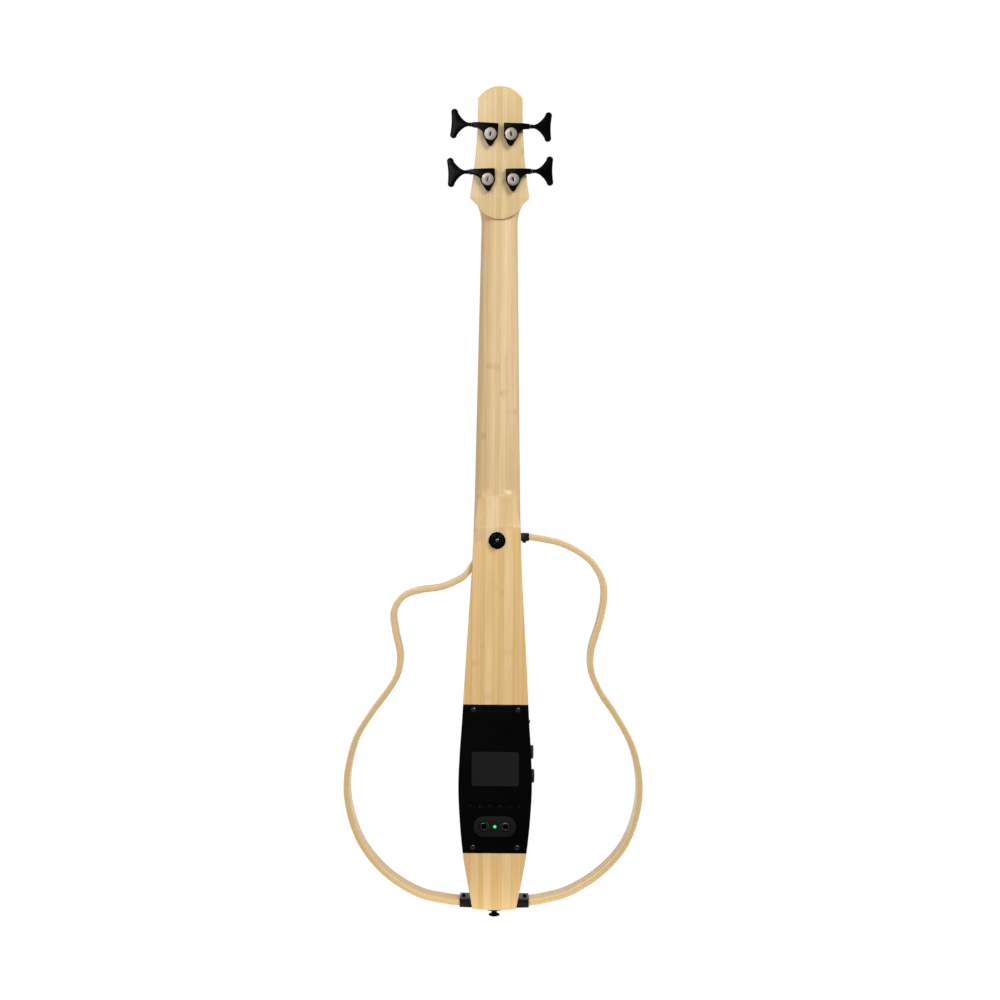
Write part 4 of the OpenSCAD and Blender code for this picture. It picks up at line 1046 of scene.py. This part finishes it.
FLARE = 15.6
key_half = [(-1, 1.9)] + [(t, 1.9 + (KEY_SPAN / 2 - 6.1) * (t / FLARE) ** 2.1)
                          for t in [FLARE * i / 12 for i in range(13)]]
key_half += arc(19.7, KEY_SPAN / 2 - 4.1, 4.1, 180, 0, 18) + [(23.35, 10.5), (22.95, 6), (22.75, 2.5),
                                                              (22.7, 0)]
key_loop = key_half + [(x, -z) for x, z in reversed(key_half[:-1])]
paddle = plate([key_loop], -KEY_T / 2, KEY_T / 2, 1.55, 5)
paddle.transform(at(KEY_START, 0, 0))
shaft = turned([(0, -5.6), (1.7, -5.6), (1.7, BAR_REACH + 0.3), (2.6, BAR_REACH + 0.3),
                (2.9, BAR_REACH + 0.55),
                (2.9, BAR_REACH + 1.05), (2.6, BAR_REACH + 1.3), (2.2, BAR_REACH + 1.4),
                (2.2, BAR_REACH + 1.8),
                (2.5, BAR_REACH + 2.2), (2.35, KEY_START + 1.5), (0, KEY_START + 1.5)], 40, "X")
worm_profile = [(0, -4.6), (1.8, -4.6)]
for k in range(7):
    x = -3.9 + 1.3 * k
    worm_profile += [(2.4, x - 0.45), (1.8, x), (2.4, x + 0.45)]
worm = turned(worm_profile + [(1.8, 4.6), (0, 4.6)], 40, "X")
key_mesh = boolean(paddle, [shaft], "UNION")
key_mesh = joined(key_mesh, worm)
key_mesh.transform(at(0, WORM_V, WORM_OFFSET))
ring_mesh = turned([(1.75, 0), (2.55, 0), (2.75, 0.15), (2.75, 0.35), (2.55, 0.5), (1.75, 0.5)], 40, "X")

# A satin disc in a black rim, with a plain slot in its sunk middle
cap = turned([(0, -1.0), (CAP_DISC_R, -1.0), (CAP_DISC_R, 0.2), (7.15, 0.36), (6.9, 0.4), (3.1, 0.4),
              (2.9, 0.26), (2.75, 0.24), (0, 0.24)], 72)
slot_turn = Matrix.Rotation(1.35, 4, "Y")
cap = boolean(cap, [moved(brick((-2.6, -0.5, -0.95), (2.6, 0.6, 0.95)), slot_turn)])
cap_slot = moved(bevelled(brick((-2.58, -0.49, -0.93), (2.58, 0.05, 0.93)), 0.05), slot_turn)
cap_rim = turned([(7.32, -1.0), (8.0, -1.0), (8.0, 0.0), (7.85, 0.2), (7.55, 0.22), (7.32, 0.1),
                  (7.32, -1.0)], 72)
with_grain(cap, [v.co.copy() for v in cap.vertices])
for mesh in (cap, cap_slot, cap_rim):
    mesh.transform(at(0, top, 0))

hex_nut = turned([(0, 0), (8.6, 0), (8.6, -0.9), (8.2, -1.5), (7.0, -1.7), (0, -1.7)], 56)
hex_nut = boolean(hex_nut, [rod(4.86, (0, -3, 0), (0, 1, 0), 40)])

caps, cap_slots, cap_rims, nuts = [], [], [], []
for s in STRINGS:
    place = tuner_at(s)
    piece(f"tuner_{s}_housing", moved(housing, place), "black_metal", f"tuner_housing_{s}",
          sharp=28)
    piece(f"tuner_{s}_key", moved(key_mesh, place), "gloss", f"tuner_key_{s}", f"key_{s}",
          sharp=32)
    collar = moved(ring_mesh, place @ at(BAR_REACH + 1.45, WORM_V, WORM_OFFSET))
    piece(f"tuner_{s}_key_collar", collar, "steel", None, f"key_{s}")
    caps.append(moved(cap, place))
    cap_slots.append(moved(cap_slot, place))
    cap_rims.append(moved(cap_rim, place))
    nuts.append(moved(hex_nut, place))
    painted(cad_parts[f"tuner_post_{s}"].data, M["chrome"])

    # The turns on the post are one helix
    r, turns = gauge_r(s), GAUGE[s][1]
    start, coil_r, path = wrap_v(s) + 0.15 + 2 * r, SPOOL_R + r + 0.02, []
    steps = 40 * turns
    for i in range(steps + 1):
        a = 2 * math.pi * i / 40
        path.append((coil_r * math.cos(a), start + 2 * r * (turns - 1) * i / steps, coil_r * math.sin(a)))
    coil = moved(tube(path, r, 12), place)
    piece(f"tuner_{s}_string_turns", coil, f"wire_{s}", f"string_winding_{s}", f"post_{s}", sharp=50)
piece("tuner_cap_discs", joined(*caps), "nickel", "tuner_caps", sharp=25)
piece("tuner_cap_slots", joined(*cap_slots), "pit", None)
piece("tuner_cap_rims", joined(*cap_rims), "black_metal", None)
piece("post_bushing_collars", joined(*nuts), "black_metal", "post_bushings")

# ---------------------------------------------------------------- electronics module

COVER_T = 2.5
COVER_Y = BODY_DEPTH - COVER_T
FLOOR_Y = FRONT_BOARD + 2.5
JACK_Z, JACK_X = -736.3, 13.0
VOLUME_Z, TONE_Z, BUTTON_Z, CONTROL_Y = -648.5, -677.5, -611.8, 28.0
KNOB_R, KNOB_H, KNOB_GAP = 8.25, 3.6, 0.3
COVER_SCREWS = [(x, z) for x in (-26.6, 26.6) for z in (-596.0, -761.0)]
TRIM_STEP, TRIM_Z = 11.9, -711.6
TRIM = [((i - 2.5) * TRIM_STEP, TRIM_Z) for i in range(6)]
LABEL_Z = -667.3


def module_loop(inset, n=40):
    z0, z1 = MODULE_BOTTOM + inset, MODULE_TOP - inset
    right = [(edge_at(z1 + (z0 - z1) * i / n) - inset, z1 + (z0 - z1) * i / n) for i in range(n + 1)]
    return right + mirrored(right)


def seat_x(z):
    return -edge_at(z) + 0.9


shell = plate([module_loop(0)], FRONT_BOARD, COVER_Y, 0.35)
cavity = boolean(plate([module_loop(3)], FLOOR_Y, BODY_DEPTH),
                 [rod(4.2, (x, FLOOR_Y - 2, z), (x, BODY_DEPTH + 2, z)) for x, z in COVER_SCREWS])
shell = boolean(shell, [cavity,
                        *(rod(KNOB_R + 0.6, (-60, CONTROL_Y, z), (seat_x(z), CONTROL_Y, z),
                              64) for z in (VOLUME_Z, TONE_Z)),
                        *(rod(3.1, (-60, CONTROL_Y, z), (-20, CONTROL_Y, z)) for z in (VOLUME_Z, TONE_Z)),
                        rod(2.05, (-60, CONTROL_Y, BUTTON_Z), (-30, CONTROL_Y, BUTTON_Z))])
piece("module_shell", shell, "shell", "electronics_housing", sharp=28)

cover_holes = ([circle(x, z, 1.6, 20) for x, z in COVER_SCREWS] + [circle(x, z, 1.9, 28) for x, z in TRIM]
               + [circle(x, JACK_Z, 4.85) for x in (-JACK_X, JACK_X)] + [circle(0, JACK_Z, 2.6, 28)])
cover = plate([module_loop(0.4), *cover_holes], COVER_Y, BODY_DEPTH, 0.45)


def end_chamfer(z_edge, z_in, depth=0.45):
    """A shallow slope across one end of the cover."""
    return loft([[(x, BODY_DEPTH + 1, z_edge), (x, BODY_DEPTH - depth, z_edge), (x, BODY_DEPTH, z_in),
                  (x, BODY_DEPTH + 1, z_in)]
                 for x in (-60, 60)])


cover = boolean(cover, [end_chamfer(MODULE_TOP + 1, MODULE_TOP - 3.2),
                        end_chamfer(MODULE_BOTTOM - 1, MODULE_BOTTOM + 3.2)])
piece("module_cover", cover, "panel", "back_cover", sharp=24)

label = plate([rounded_box(-28.4, 28.4, LABEL_Z - 20.5, LABEL_Z + 20.5, 2.5)], BODY_DEPTH, BODY_DEPTH + 0.6,
              0.2)
piece("label_blank", label, "label", "label_plate")

oval = plate([stadium(25.6, 12.35, JACK_Z)], BODY_DEPTH, BODY_DEPTH + 1.6, 0.5)
oval = boolean(oval, [plate([stadium(19, 6.6, JACK_Z)], BODY_DEPTH + 0.8, BODY_DEPTH + 3),
                      *(rod(4.85, (x, BODY_DEPTH - 1, JACK_Z), (x, BODY_DEPTH + 3, JACK_Z),
                            40) for x in (-JACK_X, JACK_X)),
                      rod(2.6, (0, BODY_DEPTH - 1, JACK_Z), (0, BODY_DEPTH + 3, JACK_Z))])
piece("jack_oval", oval, "plate", "jack_plate", sharp=26)

jack_body = turned([(3.25, 20.5), (3.25, 43.4), (3.55, 43.8), (4.1, 43.9), (4.6, 43.75), (4.75, 43.4),
                    (4.75, 20.5), (3.25, 20.5)], 56)
washer_ring = turned([(4.8, 42.82), (5.9, 42.82), (5.9, 43.2), (5.6, 43.5), (4.8, 43.5), (4.8, 42.82)], 48)
jack_box = boolean(brick((-7, FLOOR_Y + 2, -7), (7, COVER_Y - 0.05, 7)),
                   [rod(4.76, (0, FLOOR_Y + 3.9, 0), (0, COVER_Y + 2, 0), 40)])
# The lining paints the inside of each jack's bore and its floor near black: painted shade in the hole
bore_shade_lining = turned([(0, 20.5), (3.24, 20.5), (3.24, 43.0), (3.1, 43.0), (3.1, 20.9), (0, 20.9)], 40)
for name, node, x in (("headphone_socket", "headphone_jack", JACK_X),
                      ("output_socket", "output_jack", -JACK_X)):
    there = at(x, 0, JACK_Z)
    piece(f"{name}_ring", moved(jack_body, there), "jack_metal", node)
    piece(f"{name}_nut", moved(washer_ring, there), "black_chrome", None)
    piece(f"{name}_box", joined(moved(jack_box, there), moved(bore_shade_lining, there)), "pit", None)

lens = turned([(0, 39.2), (1.9, 39.2), (1.9, 43.5)]
              + [(1.9 * math.cos(math.radians(a)), 43.5 + 1.58 * math.sin(math.radians(a))) for a in range(15,
                                                                                                           90,
                                                                                                           15)]
              + [(0, 45.08)], 32)
bezel = turned([(1.93, 39.2), (2.5, 39.2), (2.5, 43.3), (2.3, 43.6), (2.05, 43.6), (1.93, 43.4),
                (1.93, 39.2)], 32)
piece("power_lens", moved(lens, at(0, 0, JACK_Z)), "light", "power_light", sharp=60)
piece("power_lens_bezel", moved(bezel, at(0, 0, JACK_Z)), "pit", None)


def knob_wave(a, r, h):
    return r - (0.32 * (0.5 - 0.5 * math.cos(30 * a)) ** 2 if r > KNOB_R - 1.1 and h > 0.7 else 0)


knob = turned([(0, 0.35), (2.2, 0.3), (5.6, 0.12), (6.6, 0), (KNOB_R - 1.25, 0), (KNOB_R - 0.9, 0.12),
               (KNOB_R - 0.25, 0.75),
               (KNOB_R, 1.1), (KNOB_R, 3.2), (KNOB_R - 0.25, KNOB_H), (1.5, KNOB_H), (1.5, 6.6), (0, 6.6)],
               240, "X", knob_wave)
pointer = plate([rounded_box(-0.35, 0.35, -0.1, 5.6, 0.3)], -0.1, 0.12, 0.04)
pointer.transform(Matrix.Rotation(math.pi / 2, 4, "Z"))
for name, z in (("volume", VOLUME_Z), ("tone", TONE_Z)):
    x0 = seat_x(z) - KNOB_GAP - KNOB_H
    there = at(x0, CONTROL_Y, z)
    piece(f"{name}_knob_fluted", moved(knob, there), "rubbery", f"{name}_knob", f"{name}_knob",
          sharp=40)
    piece(f"{name}_knob_pointer", moved(pointer, at(x0 + 0.12, CONTROL_Y, z)), "bone", None,
          f"{name}_knob")

button_x = -edge_at(BUTTON_Z) - 1.2
button = turned([(0, 0), (1.3, 0), (1.75, 0.2), (1.98, 0.7), (1.98, 4.4), (2.8, 4.4), (2.8, 6.4), (0, 6.4)],
                36, "X")
piece("power_button_cap", moved(button, at(button_x, CONTROL_Y, BUTTON_Z)), "dark_steel",
      "power_button", "power_button")

cover_head = screw_head(3.0, 1.75, 0.75)
piece("cover_screw_heads", joined(*(moved(cover_head,
                                          at(x, BODY_DEPTH, z) @ Matrix.Rotation(0.3 + i * 0.7, 4, "Y"))
                                    for i, (x, z) in enumerate(COVER_SCREWS))), "dark_steel",
                                    "cover_screws")
trim_head = turned([(0, 37.5), (1.85, 37.5), (1.85, 40.6), (1.6, 40.95), (0, 40.95)], 28)
trim_head = boolean(trim_head, [brick((-1.4, 40.4, -0.25), (1.4, 42, 0.25))])
trims = [moved(trim_head, at(x, 0, z) @ Matrix.Rotation(0.9 - 0.35 * i, 4, "Y")) for i,
         (x, z) in enumerate(TRIM)]
piece("trim_screw_heads", joined(*trims), "dark_steel", "trim_screws")

# ---------------------------------------------------------------- CAD nodes that show as they are

KEPT = {"truss_rod": "steel", "saddle_pickup": "steel", "tuner_screws": "black_metal",
        "circuit_board": "board",
        "battery": "cell", "control_pots": "steel"}
for node, material in KEPT.items():
    painted(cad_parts[node].data, M[material])
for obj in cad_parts.values():
    if not obj.hide_render:
        obj.data.shade_smooth()
        obj.data.set_sharp_from_angle(angle=math.radians(30))

# ---------------------------------------------------------------- stage, light and camera

FLOOR_HALF, FLOOR_FRONT, FLOOR_GAP = 3, 0.1, 0.002
floor_mesh = bpy.data.meshes.new("floor")
floor_mesh.from_pydata([(-FLOOR_HALF, -FLOOR_HALF, 0), (FLOOR_HALF, -FLOOR_HALF, 0),
                        (FLOOR_HALF, FLOOR_FRONT, 0),
                        (-FLOOR_HALF, FLOOR_FRONT, 0)], [], [(0, 1, 2, 3)])
floor = link("floor", floor_mesh)
floor.location = (0, 0, cad_bounds[0][2] - FLOOR_GAP)
t = Tree("floor_white")
speck = t.noise(t.place(), 3.0, 3.0)
painted(floor_mesh, t.surface(Base_Color=t.mix(speck, (0.02, 0.02, 0.02), (0.03, 0.03, 0.03)), Roughness=0.9,
                              Emission_Color=(1, 1, 1, 1), Emission_Strength=1.0, Specular_IOR_Level=0.0))

world = bpy.data.worlds.new("studio")
bpy.context.scene.world = world
world.use_nodes = True
wn, wl = world.node_tree.nodes, world.node_tree.links
wn.clear()


def wnode(kind, values, **settings):
    node = wn.new(kind)
    for key, value in settings.items():
        setattr(node, key, value)
    for key, value in values.items():
        if isinstance(value, bpy.types.NodeSocket):
            wl.new(value, node.inputs[key])
        else:
            node.inputs[key].default_value = value
    return node.outputs[0]


# The camera sees plain white. The light is bright from the sides and above, and dark from behind the camera
towards = wn.new("ShaderNodeSeparateXYZ")
wl.new(wn.new("ShaderNodeTexCoord").outputs["Generated"], towards.inputs[0])
behind = wnode("ShaderNodeMapRange", {0: towards.outputs[1], 1: 0.1, 2: 0.8, 3: 0.55, 4: 0.03},
               interpolation_type="SMOOTHSTEP")
white = wnode("ShaderNodeBackground", {0: grey(1.0), 1: 1.0})
lit = wnode("ShaderNodeBackground", {0: grey(1.0), 1: behind})
ray = wn.new("ShaderNodeLightPath").outputs["Is Camera Ray"]
wl.new(wnode("ShaderNodeMixShader", {0: ray, 1: lit, 2: white}), wn.new("ShaderNodeOutputWorld").inputs[0])


def area(name, place, target, size, power, lean=0.0, glossy=True):
    data = bpy.data.lights.new(name, "AREA")
    data.shape = "RECTANGLE"
    data.size, data.size_y = size
    data.energy = power
    obj = link(name, data)
    obj.location = place
    obj.rotation_mode = "QUATERNION"
    aim = (Vector(target) - Vector(place)).to_track_quat("-Z", "Y")
    obj.rotation_quaternion = aim @ Quaternion((0, 0, 1), math.radians(lean))
    obj.visible_glossy = glossy


MIDDLE = (0, 0, -0.35)
area("key", (-1.35, 2.3, 1.25), MIDDLE, (1.3, 1.3), 60)
area("fill", (1.3, 2.4, 0.1), MIDDLE, (1.2, 1.8), 22, glossy=False)
area("neck_strip", (0.375, 2.0, 0.0), (0.0, 0, -0.15), (0.16, 0.8), 6, lean=18)

camera_data = bpy.data.cameras.new("camera")
camera = link("camera", camera_data)
bpy.context.scene.camera = camera
CAMERA_DISTANCE, VIEW_WIDTH, SENSOR = 1.95, 1.2, 36
CAMERA_ROLL = 0.447
AIM_X, AIM_Y, AIM_Z = -0.0032, 0.042, -0.3444
camera_data.sensor_width = SENSOR
camera_data.lens = SENSOR * CAMERA_DISTANCE / VIEW_WIDTH
camera_data.clip_start, camera_data.clip_end = 0.01, 50
roll = math.radians(CAMERA_ROLL)
right = Vector((-math.cos(roll), 0, math.sin(roll)))
upward = Vector((math.sin(roll), 0, math.cos(roll)))
back = Vector((0, 1, 0))
turn = Matrix((right, upward, back)).transposed().to_4x4()
camera.matrix_world = Matrix.Translation((AIM_X, AIM_Y + CAMERA_DISTANCE, AIM_Z)) @ turn

bpy.context.view_layer.update()
